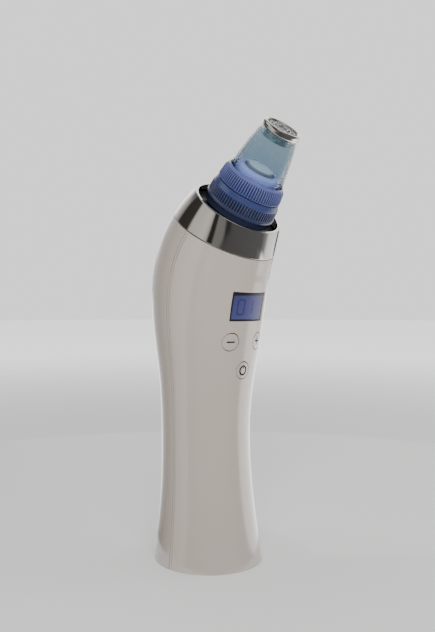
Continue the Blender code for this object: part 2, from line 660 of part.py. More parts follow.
def make_probe(shop):
    """The pull-off probe: skirt ring, and the cap that turns on it with its cone and abrasive tip."""
    outside = [
        (-1.5, 15.9, False), (0.9, 15.9, False), (1.3, 16.4, False), (2.4, 16.4, False), (2.8, 16.2, True),
        (7.2, 15.9, True), (7.5, 15.8, False), (9.7, 15.1, False),
    ]
    inside = [(9.7, 13.1, False), (13.6, 13.1, False), (13.6, 12.4, False), (-1.5, 12.4, False)]
    ribbed_ring(shop, "skirt_ring", outside, inside, "blue_plastic")
    outside = [(10.1, 15.1, True), (14.7, 14.5, True), (15.0, 14.3, False), (17.2, 12.95, False)]
    inside = [(17.2, 12.7, False), (15.2, 12.7, False), (15.2, 13.5, False), (10.1, 13.5, False)]
    ribbed_ring(shop, "cap_ring", outside, inside, "blue_plastic")
    cone = [
        (8.7, 37.4), (9.9, 32.5), (11.0, 27.5), (11.85, 22.5), (12.4, 17.2), (12.4, 14.9), (13.2, 14.9),
        (13.2, 13.9), (11.2, 13.9), (11.2, 17.2), (10.65, 22.5), (9.8, 27.5), (8.7, 32.5), (7.5, 36.2),
        (7.1, 36.2), (7.1, 37.4),
    ]
    turned(shop, "probe_cone", cone, "clear_plastic", on_head=True)
    tip = [
        (2.3, 39.9), (7.4, 39.9), (8.1, 40.35), (8.8, 40.1), (9.0, 39.3), (8.8, 38.1), (8.6, 37.7),
        (6.8, 37.7), (6.8, 34.0), (5.4, 34.0), (5.4, 38.1), (2.3, 38.1),
    ]
    turned(shop, "abrasive_tip", tip, "steel", on_head=True)


def make_suction_hose(shop):
    """The silicone hose from the pump's inlet to the nozzle's spigot."""
    start, end = Vector((SPIGOT_X, PUMP_Y, 122.2)), head_point(-8.2)
    route = [start, start + Vector((0, 0, 5)), start + Vector((-0.6, -0.8, 11.5)), Vector((1.0, -1.0, 141.5))]
    route += [head_point(-18.0), head_point(-13.0), end]
    tube(shop, "suction_hose", route, 2.7, "silicone", 20, bore=2.05)


def main():
    clear_scene()
    shop = Workshop()
    shells = make_shells(shop)
    make_window(shop, shells["front_shell"])
    make_buttons(shop, shells["front_shell"])
    make_switches(shop)
    make_display(shop)
    make_control_board(shop)
    make_chassis(shop)
    make_pump(shop)
    make_power(shop)
    make_suction_hose(shop)
    make_bottom_cover(shop)
    make_collar(shop)
    make_nozzle(shop)
    make_probe(shop)


main()
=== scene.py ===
"""The looks of a hand-held blackhead vacuum extractor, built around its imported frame.

Sizes are in millimetres in the sub-assemblies and become metres when a mesh takes its place.
"""

import json
import logging
import math
from dataclasses import dataclass, field
from enum import Enum
from functools import lru_cache
from typing import Callable, Iterable, Optional, Sequence, Union

import bmesh
import bpy
import numpy as np
from mathutils import Matrix, Vector


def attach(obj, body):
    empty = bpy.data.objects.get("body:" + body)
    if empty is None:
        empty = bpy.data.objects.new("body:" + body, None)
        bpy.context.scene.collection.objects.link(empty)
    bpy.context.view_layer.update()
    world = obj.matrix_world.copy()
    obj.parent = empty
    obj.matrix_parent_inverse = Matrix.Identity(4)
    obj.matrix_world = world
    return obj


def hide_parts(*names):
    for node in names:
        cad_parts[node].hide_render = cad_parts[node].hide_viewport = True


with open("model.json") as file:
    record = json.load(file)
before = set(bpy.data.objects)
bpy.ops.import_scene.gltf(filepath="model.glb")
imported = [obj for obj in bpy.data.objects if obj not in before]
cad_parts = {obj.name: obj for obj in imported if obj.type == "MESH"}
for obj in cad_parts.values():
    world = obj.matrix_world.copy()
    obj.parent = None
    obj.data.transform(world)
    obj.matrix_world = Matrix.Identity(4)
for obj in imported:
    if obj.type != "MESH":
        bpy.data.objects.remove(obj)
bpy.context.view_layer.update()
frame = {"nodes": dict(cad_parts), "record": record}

LOG = logging.getLogger("extractor")
MM = 0.001

Colour = tuple[float, float, float]
Pair = tuple[float, float]
Number = Union[int, float]


# ------------------------------------------------------------------------------------ shader graphs


class Signal:
    """A shader socket that takes part in Python arithmetic."""

    def __init__(self, graph: "Graph", socket: bpy.types.NodeSocket) -> None:
        """Wraps an output socket of a graph."""
        self.graph = graph
        self.socket = socket

    def _math(self, operation: str, *values: "Union[Signal, Number]") -> "Signal":
        """A Math node on this signal and others."""
        return self.graph.node("ShaderNodeMath", {"operation": operation}, dict(enumerate(values)))

    def __add__(self, other: "Union[Signal, Number]") -> "Signal":
        """Sum."""
        return self._math("ADD", self, other)

    __radd__ = __add__

    def __sub__(self, other: "Union[Signal, Number]") -> "Signal":
        """Difference."""
        return self._math("SUBTRACT", self, other)

    def __rsub__(self, other: "Union[Signal, Number]") -> "Signal":
        """Difference, with this signal taken away."""
        return self._math("SUBTRACT", other, self)

    def __mul__(self, other: "Union[Signal, Number]") -> "Signal":
        """Product."""
        return self._math("MULTIPLY", self, other)

    __rmul__ = __mul__

    def __truediv__(self, other: "Union[Signal, Number]") -> "Signal":
        """Quotient."""
        return self._math("DIVIDE", self, other)

    def __pow__(self, other: "Union[Signal, Number]") -> "Signal":
        """Power."""
        return self._math("POWER", self, other)

    def __abs__(self) -> "Signal":
        """Size without sign."""
        return self._math("ABSOLUTE", self)

    def sine(self) -> "Signal":
        """Sine of an angle in radians."""
        return self._math("SINE", self)

    def angle_to(self, other: "Signal") -> "Signal":
        """Angle of the point (other, self), in radians."""
        return self._math("ARCTAN2", self, other)

    def clamped(self) -> "Signal":
        """Limited to 0 and 1."""
        return self.graph.node("ShaderNodeClamp", {}, {0: self})

    def ramp(self, low: float, high: float, start: float = 0.0, end: float = 1.0) -> "Signal":
        """A smooth step.

        Args:
            low: The value where the step starts.
            high: The value where it ends.
            start: The result at low and below.
            end: The result at high and above.

        Returns:
            The stepped signal.
        """
        settings = {"interpolation_type": "SMOOTHSTEP"}
        return self.graph.node("ShaderNodeMapRange", settings, {0: self, 1: low, 2: high, 3: start, 4: end})


Input = Union[Signal, Number, Sequence[float]]


class Graph:
    """A material's node tree, with a Principled shader at its end."""

    def __init__(self, name: str) -> None:
        """Makes an empty material with its shader and output.

        Args:
            name: The material's name.
        """
        self.material = bpy.data.materials.new(name)
        self.material.use_nodes = True
        self.tree = self.material.node_tree
        self.shader = self.tree.nodes["Principled BSDF"]

    def node(
        self,
        kind: str,
        settings: Optional[dict[str, object]] = None,
        inputs: "Optional[dict[Union[int, str], Input]]" = None,
        output: Union[int, str] = 0,
    ) -> Signal:
        """Adds a node.

        Args:
            kind: The node's type.
            settings: Its own settings, and a ramp's stops under "stops".
            inputs: Values or signals for its sockets, by number or name.
            output: The socket to hand back.

        Returns:
            The signal at that output.
        """
        made = self.tree.nodes.new(kind)
        for key, value in (settings or {}).items():
            if key == "stops":
                self._set_stops(made, value)
            else:
                setattr(made, key, value)
        for key, value in (inputs or {}).items():
            self._feed(made.inputs[key], value)
        return Signal(self, made.outputs[output])

    def _feed(self, socket: bpy.types.NodeSocket, value: Input) -> None:
        """Links a signal to a socket, or sets its value.

        Args:
            socket: The input socket.
            value: A signal, a number or a colour.
        """
        if isinstance(value, Signal):
            self.tree.links.new(value.socket, socket)
        elif isinstance(value, (int, float)):
            socket.default_value = value
        else:
            wide = len(socket.default_value)
            socket.default_value = (*value, 1.0)[:wide]

    @staticmethod
    def _set_stops(made: bpy.types.Node, stops: Sequence[tuple[float, Colour]]) -> None:
        """Gives a colour ramp its stops.

        Args:
            made: The ramp node.
            stops: Pairs of a place and a colour.
        """
        elements = made.color_ramp.elements
        while len(elements) < len(stops):
            elements.new(0.5)
        for element, (place, colour) in zip(elements, stops):
            element.position = place
            element.color = (*colour, 1.0)

    def set(self, **values: Input) -> "Graph":
        """Sets the shader's sockets, named with underscores for their spaces."""
        for key, value in values.items():
            self._feed(self.shader.inputs[key.replace("_", " ").title().replace("Ior", "IOR")], value)
        return self

    def place(self, origin: Sequence[float] = (0, 0, 0), lean_deg: float = 0.0) -> Signal:
        """Object coordinates in millimetres about an origin, along a leaning axis.

        Args:
            origin: The point that becomes zero, in metres.
            lean_deg: How far the local Z axis leans over the front.

        Returns:
            The coordinates as a vector signal.
        """
        raw = self.node("ShaderNodeTexCoord", {}, {}, "Object")
        settings = {"vector_type": "TEXTURE"}
        turn = (math.radians(lean_deg), 0.0, 0.0)
        spots = {"Location": tuple(origin), "Rotation": turn, "Scale": (MM, MM, MM)}
        return self.node("ShaderNodeMapping", settings, {"Vector": raw, **spots})

    def parts(self, vector: Signal) -> tuple[Signal, Signal, Signal]:
        """The X, Y and Z of a vector.

        Args:
            vector: A vector signal.

        Returns:
            Its three components.
        """
        split = self.node("ShaderNodeSeparateXYZ", {}, {0: vector})
        node = split.socket.node
        return tuple(Signal(self, socket) for socket in node.outputs)

    def radius(self, x: Signal, y: Signal) -> Signal:
        """Distance from the Z axis."""
        return (x * x + y * y) ** 0.5

    def noise(self, vector: Signal, scale: float, detail: float = 3.0, roughness: float = 0.5) -> Signal:
        """Noise about 0.5 with a scale per millimetre."""
        inputs = {"Vector": vector, "Scale": scale, "Detail": detail, "Roughness": roughness}
        return self.node("ShaderNodeTexNoise", {}, inputs, "Fac")

    def cells(self, vector: Signal, scale: float, feature: str = "F1") -> Signal:
        """Distance to the nearest cell point or cell edge."""
        inputs = {"Vector": vector, "Scale": scale}
        return self.node("ShaderNodeTexVoronoi", {"feature": feature}, inputs, "Distance")

    def blend(self, factor: Input, first: Input, second: Input) -> Signal:
        """A mix of two colours.

        Args:
            factor: 0 for the first colour, 1 for the second.
            first: The first colour.
            second: The second colour.

        Returns:
            The mixed colour.
        """
        made = self.tree.nodes.new("ShaderNodeMix")
        made.data_type = "RGBA"
        self._feed(made.inputs[0], factor)
        self._feed(made.inputs[6], first)
        self._feed(made.inputs[7], second)
        return Signal(self, made.outputs[2])

    def bump(self, height: Signal, distance: float, strength: float = 1.0) -> Signal:
        """A normal from a height signal, with the distance in millimetres."""
        inputs = {"Height": height, "Distance": distance * MM, "Strength": strength}
        return self.node("ShaderNodeBump", {}, inputs)


# ----------------------------------------------------------------------------------------- finishes


@dataclass(frozen=True)
class Finish:
    """A surface finish. It keeps the record's slot that it stands for."""

    name: str
    slot: str
    colour: Colour
    roughness: float = 0.4
    metallic: float = 0.0

    def material(self) -> bpy.types.Material:
        """The finish as a material, made once."""
        return _material(self)

    def shade(self, factor: float) -> Colour:
        """The finish's colour, made darker."""
        return tuple(factor * part for part in self.colour)

    def dress(self, graph: Graph) -> None:
        """Fills the graph. Fine grain and a faint drift of tone, as on any moulded part.

        Args:
            graph: The material's graph, which gets its nodes and its shader's values.
        """
        spot = graph.place()
        graph.set(
            base_color=graph.blend(graph.noise(spot, 0.06, 2.0), self.shade(0.9), self.colour),
            roughness=self.roughness + 0.1 * (graph.noise(spot, 1.5) - 0.5),
            metallic=self.metallic,
            normal=graph.bump(graph.noise(spot, 6.0), 0.02, 0.3),
        )


@lru_cache(maxsize=None)
def _material(finish: Finish) -> bpy.types.Material:
    """Builds each finish's material once.

    Args:
        finish: The finish to build.

    Returns:
        The material, the same one each time.
    """
    graph = Graph(finish.name)
    finish.dress(graph)
    return graph.material


@dataclass(frozen=True)
class PearlGloss(Finish):
    """Warm white gloss plastic with a faint pearl drift and a clear top coat."""

    coat: float = 0.9

    def dress(self, graph: Graph) -> None:
        """Mould flow tints the colour. Fine waviness breaks up long reflections.

        Args:
            graph: The material's graph, which gets its nodes and its shader's values.
        """
        spot = graph.place()
        flow = graph.noise(spot, 0.02, 2.0)
        speck = graph.noise(spot, 5.0, 2.0)
        warm = tuple(part * tint for part, tint in zip(self.colour, (1.0, 0.985, 0.965)))
        handled = graph.noise(spot, 0.12, 4.0, 0.6)
        graph.set(
            base_color=graph.blend(flow.ramp(0.3, 0.7), warm, self.colour),
            roughness=self.roughness + 0.06 * (handled - 0.5) + 0.03 * speck,
            normal=graph.bump(graph.noise(spot, 0.25, 2.0) + 0.05 * speck, 0.02, 0.35),
            coat_weight=self.coat,
            coat_roughness=0.04,
            coat_ior=1.9,
            ior=1.5,
        )


@dataclass(frozen=True)
class PlatedMetal(Finish):
    """Bright plating with faint wipe marks."""

    def dress(self, graph: Graph) -> None:
        """Wipe marks raise the roughness a little, and dust dulls it in specks.

        Args:
            graph: The material's graph, which gets its nodes and its shader's values.
        """
        spot = graph.place()
        wipes = graph.noise(spot, 0.35, 5.0, 0.65)
        dust = graph.noise(spot, 4.0, 2.0).ramp(0.62, 0.75)
        graph.set(
            base_color=graph.blend(wipes, self.shade(0.94), self.colour),
            roughness=self.roughness + 0.05 * wipes.ramp(0.45, 0.75) + 0.04 * dust,
            metallic=1.0,
            normal=graph.bump(graph.noise(spot, 0.2, 1.0), 0.01, 0.2),
        )


@dataclass(frozen=True)
class TintedPlastic(Finish):
    """Tinted plastic that lets some light through. Its colour is darker towards the low end of the head's
    axis, which on the skirt is painted shade.
    """

    low_end_colour: Colour = (0.02, 0.03, 0.2)
    low: float = 0.0
    high: float = 10.0
    transmission: float = 0.3
    ior: float = 1.49
    grain: float = 0.3
    alpha: float = 1.0
    coat: float = 0.4
    ribs: int = 0
    ribbed: Pair = (0.0, 0.0)
    painted_shade_bore: float = 0.0

    def dress(self, graph: Graph) -> None:
        """Runs from the low-end colour at the low height to the plain one at the high height.

        Painted shade darkens the grooves between grip ribs, and the inside of a bore.

        Args:
            graph: The material's graph, which gets its nodes and its shader's values.
        """
        spot = graph.place(Head.origin(), Head.LEAN_DEG)
        x, y, height = graph.parts(spot)
        cloud = graph.noise(spot, 0.35, 3.0)
        # The colour runs from the low-end colour up to the plain one; on the skirt the dark low end is
        # painted shade.
        climb = (height + 1.2 * (cloud - 0.5)).ramp(self.low, self.high)
        tint = graph.blend(climb, self.low_end_colour, self.colour)
        if self.ribs:
            start, end = self.ribbed
            # Painted shade: the grooves between the grip ribs are darkened in the colour.
            painted_groove_shade = 0.5 - 0.5 * (y.angle_to(x) * self.ribs + math.pi / 2).sine()
            inside = height.ramp(start, start + 0.3) * (1.0 - height.ramp(end - 0.3, end))
            tint = graph.blend(inside * painted_groove_shade**1.5, tint, self.shade(0.12))
        # Painted shade: inside the bore the colour is made nearly black, which on the cup is the gap round
        # the foam pad.
        if self.painted_shade_bore:
            past = graph.radius(x, y).ramp(self.painted_shade_bore - 0.15, self.painted_shade_bore + 0.15)
            tint = graph.blend(past, self.shade(0.1), tint)
        graph.set(
            base_color=tint,
            roughness=self.roughness + 0.08 * (graph.noise(spot, 1.2, 4.0) - 0.5),
            normal=graph.bump(graph.noise(spot, 2.5, 3.0), 0.02, self.grain),
            transmission_weight=self.transmission,
            ior=self.ior,
            alpha=self.alpha,
            coat_weight=self.coat,
            coat_roughness=0.08,
        )


@dataclass(frozen=True)
class FoamPad(Finish):
    """Open foam: pores and a soft, uneven tone."""

    def dress(self, graph: Graph) -> None:
        """Two sizes of pore darken and pit the surface, and the pad's side is painted darker as shade.

        Args:
            graph: The material's graph, which gets its nodes and its shader's values.
        """
        spot = graph.place(Head.origin(), Head.LEAN_DEG)
        coarse = graph.cells(spot, 2.2).ramp(0.1, 0.55)
        fine = graph.cells(spot, 5.0).ramp(0.1, 0.5)
        pores = coarse * 0.6 + fine * 0.4
        x, y, _ = graph.parts(spot)
        # Painted shade: the pad's side, which stands above the cup, is darkened in the colour.
        flank = graph.radius(x, y).ramp(5.6, 6.1)
        tone = graph.blend(pores, self.colour, self.shade(0.72))
        graph.set(
            base_color=graph.blend(flank, tone, self.shade(0.3)),
            roughness=self.roughness,
            normal=graph.bump(1.0 - pores, 0.12, 0.6),
            subsurface_weight=0.15,
        )


@dataclass(frozen=True)
class GritMetal(Finish):
    """Plated metal with diamond grit on the flat of its face."""

    inner: float = 2.5
    outer: float = 7.3
    face_from: Pair = (38.6, 38.8)
    stud_tops: Pair = (39.93, 40.02)

    def dress(self, graph: Graph) -> None:
        """Grit covers the ring between two radii at the top of the head, where the colour is painted nearly
        black between the studs' tops as a dark reflection. The rest shows turning marks.

        Args:
            graph: The material's graph, which gets its nodes and its shader's values.
        """
        spot = graph.place(Head.origin(), Head.LEAN_DEG)
        x, y, height = graph.parts(spot)
        radius = graph.radius(x, y)
        ring = radius.ramp(self.inner, self.inner + 0.3) * (1.0 - radius.ramp(self.outer - 0.3, self.outer))
        face = ring * height.ramp(*self.face_from)
        painted_petal_reflection = ((y.angle_to(x) * 9.0 + radius * 2.2).sine() * 0.5 + 0.5).ramp(0.35, 0.75)
        grit = graph.cells(spot, 3.4).ramp(0.05, 0.45)
        turning = (radius * 55.0 + height * 40.0).sine() * 0.5 + 0.5
        between = 1.0 - height.ramp(*self.stud_tops)
        # Painted reflection: between the studs' tops the face's colour goes nearly black, in a petal pattern.
        dark = face * between * (0.8 + 0.2 * painted_petal_reflection)
        relief = face * grit * 0.5 + (1.0 - face) * turning * 0.04
        graph.set(
            base_color=graph.blend(dark.clamped(), self.colour, self.shade(0.04)),
            roughness=self.roughness + 0.08 * face * grit,
            metallic=1.0,
            normal=graph.bump(relief, 0.12, 0.8),
        )


@dataclass(frozen=True)
class LitDisplay(Finish):
    """A backlit display behind a glossy face: a dark printed border, and a glow with painted shade that dims
    it towards the left and the top.
    """

    # glow is the light where painted shade dims it most, at the upper left; bright is the light at the lower
    # right.
    glow: Colour = (0.035, 0.045, 0.19)
    bright: Colour = (0.16, 0.18, 0.46)
    half_width: float = 10.4
    bottom: float = 112.3
    top: float = 123.5
    strength: float = 0.3

    def dress(self, graph: Graph) -> None:
        """The glow stops at the printed border at the edges, and painted shade dims it towards the left and
        the top.

        Args:
            graph: The material's graph, which gets its nodes and its shader's values.
        """
        spot = graph.place()
        x, _, z = graph.parts(spot)
        across = (x + self.half_width) / (2 * self.half_width)
        up = (z - self.bottom) / (self.top - self.bottom)
        inside = across.ramp(0.02, 0.05) * (1.0 - across.ramp(0.94, 0.96))
        inside = inside * up.ramp(0.01, 0.04) * (1.0 - up.ramp(0.93, 0.97))
        haze = graph.noise(spot, 0.25, 2.0) * 0.3
        # Painted shade: the light dims towards the left and the top, like the shadow of the opening's edge.
        painted_shade_sweep = (across * 0.55 + (1.0 - up) * 0.45 + haze).clamped()
        light = graph.blend(painted_shade_sweep, self.glow, self.bright)
        grid = ((x * 9.0).sine() * (z * 9.0).sine()) * 0.04 + 1.0
        shown = inside * grid
        graph.set(
            base_color=graph.blend(inside, (0.012, 0.012, 0.02), self.colour),
            emission_color=graph.blend(shown, (0.0, 0.0, 0.0), light),
            emission_strength=self.strength,
            roughness=self.roughness,
            coat_weight=0.1,
            coat_roughness=0.2,
        )


# ------------------------------------------------------------------------------------ mesh building


class Sharpness(Enum):
    """How a piece's edges are shaded: the angle in degrees from which an edge is sharp."""

    CREASED = 40.0
    FLAT = 15.0


@dataclass
class Piece:
    """A finished piece of the object and the frame nodes that it stands for."""

    name: str
    finish: Finish
    body: str
    stands_for: tuple[str, ...] = ()
    sharpness: Sharpness = Sharpness.CREASED

    def place(self, shape: bmesh.types.BMesh, matrix: Optional[Matrix] = None) -> bpy.types.Object:
        """Turns a shape in millimetres into an object whose place is in its mesh.

        Args:
            shape: The shape. It is freed.
            matrix: Where it goes, in millimetres.

        Returns:
            The object, riding on its body.
        """
        if matrix is not None:
            bmesh.ops.transform(shape, matrix=matrix, verts=shape.verts)
        bmesh.ops.scale(shape, vec=(MM, MM, MM), verts=shape.verts)
        for face in shape.faces:
            face.smooth = True
        limit = math.radians(self.sharpness.value)
        for edge in shape.edges:
            edge.smooth = len(edge.link_faces) == 2 and edge.calc_face_angle(0.0) < limit
        mesh = bpy.data.meshes.new(self.name)
        shape.to_mesh(mesh)
        shape.free()
        return self.adopt(bpy.data.objects.new(self.name, mesh))

    def adopt(self, made: bpy.types.Object) -> bpy.types.Object:
        """Dresses an object, puts it on its body and hides the nodes that it stands for.

        Args:
            made: The object.

        Returns:
            The same object.
        """
        bpy.context.scene.collection.objects.link(made)
        made.data.materials.append(self.finish.material())
        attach(made, self.body)
        if self.stands_for:
            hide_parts(*self.stands_for)
        LOG.info("%s: %d faces", made.name, len(made.data.polygons))
        return made


class Shape:
    """Ways to start and change a bmesh in millimetres."""

    @staticmethod
    def turned(
        profile: Sequence[Pair], steps: int = 128, closed: bool = True, rounding: float = 0.0
    ) -> bmesh.types.BMesh:
        """A solid of revolution about Z.

        Args:
            profile: Points of (radius, height).
            steps: Divisions round the turn.
            closed: Whether the profile's ends are joined.
            rounding: The size of the bevel on the profile's corners.

        Returns:
            The turned shape.
        """
        shape = bmesh.new()
        points = [shape.verts.new((radius, 0.0, height)) for radius, height in profile]
        pairs = list(zip(points, points[1:])) + ([(points[-1], points[0])] if closed else [])
        for pair in pairs:
            shape.edges.new(pair)
        geometry = shape.verts[:] + shape.edges[:]
        bmesh.ops.spin(
            shape, geom=geometry, cent=(0, 0, 0), axis=(0, 0, 1), angle=2 * math.pi, steps=steps,
            use_merge=True, use_duplicate=False,
        )
        bmesh.ops.remove_doubles(shape, verts=shape.verts, dist=0.0005)
        bmesh.ops.recalc_face_normals(shape, faces=shape.faces)
        if rounding:
            Shape.round_edges(shape, rounding)
        return shape

    @staticmethod
    def round_edges(
        shape: bmesh.types.BMesh, size: float, angle_deg: float = 28.0, segments: int = 3
    ) -> None:
        """Bevels every edge that is sharper than an angle.

        Args:
            shape: The shape to change.
            size: How far the bevel reaches.
            angle_deg: Edges sharper than this are bevelled.
            segments: Its steps.
        """
        limit = math.radians(angle_deg)
        sharp = [e for e in shape.edges if len(e.link_faces) == 2 and e.calc_face_angle(0.0) > limit]
        bmesh.ops.bevel(
            shape, geom=sharp, offset=size, offset_type="OFFSET", segments=segments, profile=0.5,
            affect="EDGES", clamp_overlap=True, material=-1,
        )

    @staticmethod
    def sealed(shape: bmesh.types.BMesh) -> bmesh.types.BMesh:
        """A shape with its openings filled and its faces outwards. It is changed in place.

        Args:
            shape: The shape.

        Returns:
            The same shape.
        """
        bmesh.ops.holes_fill(shape, edges=[edge for edge in shape.edges if edge.is_boundary])
        bmesh.ops.recalc_face_normals(shape, faces=shape.faces)
        return shape

    @staticmethod
    def thickened(shape: bmesh.types.BMesh, thickness: float) -> bmesh.types.BMesh:
        """An open sheet made solid. It is changed in place.

        Args:
            shape: The sheet.
            thickness: How thick it becomes.

        Returns:
            The same shape.
        """
        bmesh.ops.solidify(shape, geom=shape.faces[:], thickness=thickness)
        bmesh.ops.recalc_face_normals(shape, faces=shape.faces)
        return shape

    @staticmethod
    def rod(start: Vector, end: Vector, radius: float, segments: int = 48) -> bmesh.types.BMesh:
        """A cylinder between two points.

        Args:
            start: One end of its axis.
            end: The other end.
            radius: Its radius.
            segments: Its sides.

        Returns:
            The closed cylinder.
        """
        along = end - start
        turn = along.to_track_quat("Z", "Y").to_matrix().to_4x4()
        shape = bmesh.new()
        bmesh.ops.create_cone(
            shape, cap_ends=True, segments=segments, radius1=radius, radius2=radius, depth=along.length,
            matrix=Matrix.Translation((start + end) / 2) @ turn,
        )
        return shape

    @staticmethod
    def block(low: Sequence[float], high: Sequence[float], rounding: float = 0.0) -> bmesh.types.BMesh:
        """A box between two corners, with rounded edges.

        Args:
            low: The corner with the least coordinates.
            high: The corner with the greatest.
            rounding: How far its edges are bevelled.

        Returns:
            The closed box.
        """
        low, high = Vector(low), Vector(high)
        shape = bmesh.new()
        size = Matrix.Diagonal((*(high - low), 1.0))
        bmesh.ops.create_cube(shape, size=1.0, matrix=Matrix.Translation((low + high) / 2) @ size)
        if rounding:
            Shape.round_edges(shape, rounding)
        return shape

    @staticmethod
    def merged(shapes: Iterable[bmesh.types.BMesh]) -> bmesh.types.BMesh:
        """Several shapes as one. They are freed.

        Args:
            shapes: The shapes to join.

        Returns:
            One shape that holds them all.
        """
        whole = bmesh.new()
        for shape in shapes:
            mesh = bpy.data.meshes.new("part")
            shape.to_mesh(mesh)
            shape.free()
            whole.from_mesh(mesh)
            bpy.data.meshes.remove(mesh)
        return whole

    @staticmethod
    def carved(shape: bmesh.types.BMesh, tools: Iterable[bmesh.types.BMesh]) -> bmesh.types.BMesh:
        """A shape with others cut out of it. All of them are freed.

        Args:
            shape: The shape to cut.
            tools: Closed shapes to take away.

        Returns:
            The cut shape.
        """
        objects = []
        for index, part in enumerate([shape, *tools]):
            mesh = bpy.data.meshes.new("carving")
            part.to_mesh(mesh)
            part.free()
            made = bpy.data.objects.new(f"carving_{index}", mesh)
            bpy.context.scene.collection.objects.link(made)
            objects.append(made)
        for tool in objects[1:]:
            change = objects[0].modifiers.new("carve", "BOOLEAN")
            change.operation, change.object, change.solver = "DIFFERENCE", tool, "EXACT"
        bpy.context.view_layer.update()
        graph = bpy.context.evaluated_depsgraph_get()
        mesh = bpy.data.meshes.new_from_object(objects[0].evaluated_get(graph))
        result = bmesh.new()
        result.from_mesh(mesh)
        for made in objects:
            bpy.data.objects.remove(made, do_unlink=True)
        return result


# ------------------------------------------------------------------------------------- housing form


class SmoothCurve:
    """A natural cubic spline through values at knots."""

    def __init__(self, knots: Sequence[float], values: Sequence[float]) -> None:
        """Solves the spline's bends.

        Args:
            knots: Rising places.
            values: The value at each place.
        """
        self.knots, self.values = [float(k) for k in knots], [float(v) for v in values]
        count = len(knots)
        matrix, right = np.eye(count), np.zeros(count)
        step = np.diff(knots)
        slope = np.diff(values) / step
        for i in range(1, count - 1):
            matrix[i, i - 1 : i + 2] = step[i - 1], 2 * (step[i - 1] + step[i]), step[i]
            right[i] = 6 * (slope[i] - slope[i - 1])
        self.bends = [float(b) for b in np.linalg.solve(matrix, right)]

    def at(self, place: float) -> float:
        """The value at a place.

        Args:
            place: Where to read the curve.

        Returns:
            The value there.
        """
        span = max(0, min(len(self.knots) - 2, int(np.searchsorted(self.knots, place)) - 1))
        left, right = self.knots[span], self.knots[span + 1]
        width, after, before = right - left, place - left, right - place
        bend, next_bend = self.bends[span], self.bends[span + 1]
        curved = (bend * before**3 + next_bend * after**3) / (6 * width)
        first = (self.values[span] / width - bend * width / 6) * before
        return curved + first + (self.values[span + 1] / width - next_bend * width / 6) * after


@dataclass(frozen=True)
class Plane:
    """A plane across the housing, with its normal upwards, and the height of the section near it."""

    point: Vector
    normal: Vector
    near: float

    def above(self, spot: Vector) -> float:
        """How far a point lies above the plane."""
        return (spot - self.point).dot(self.normal)

    def raised(self, gap: float) -> "Plane":
        """The plane moved along its normal."""
        return Plane(self.point + self.normal * gap, self.normal, self.near)


Rows = Union[Sequence[float], Callable[[float], Sequence[float]]]


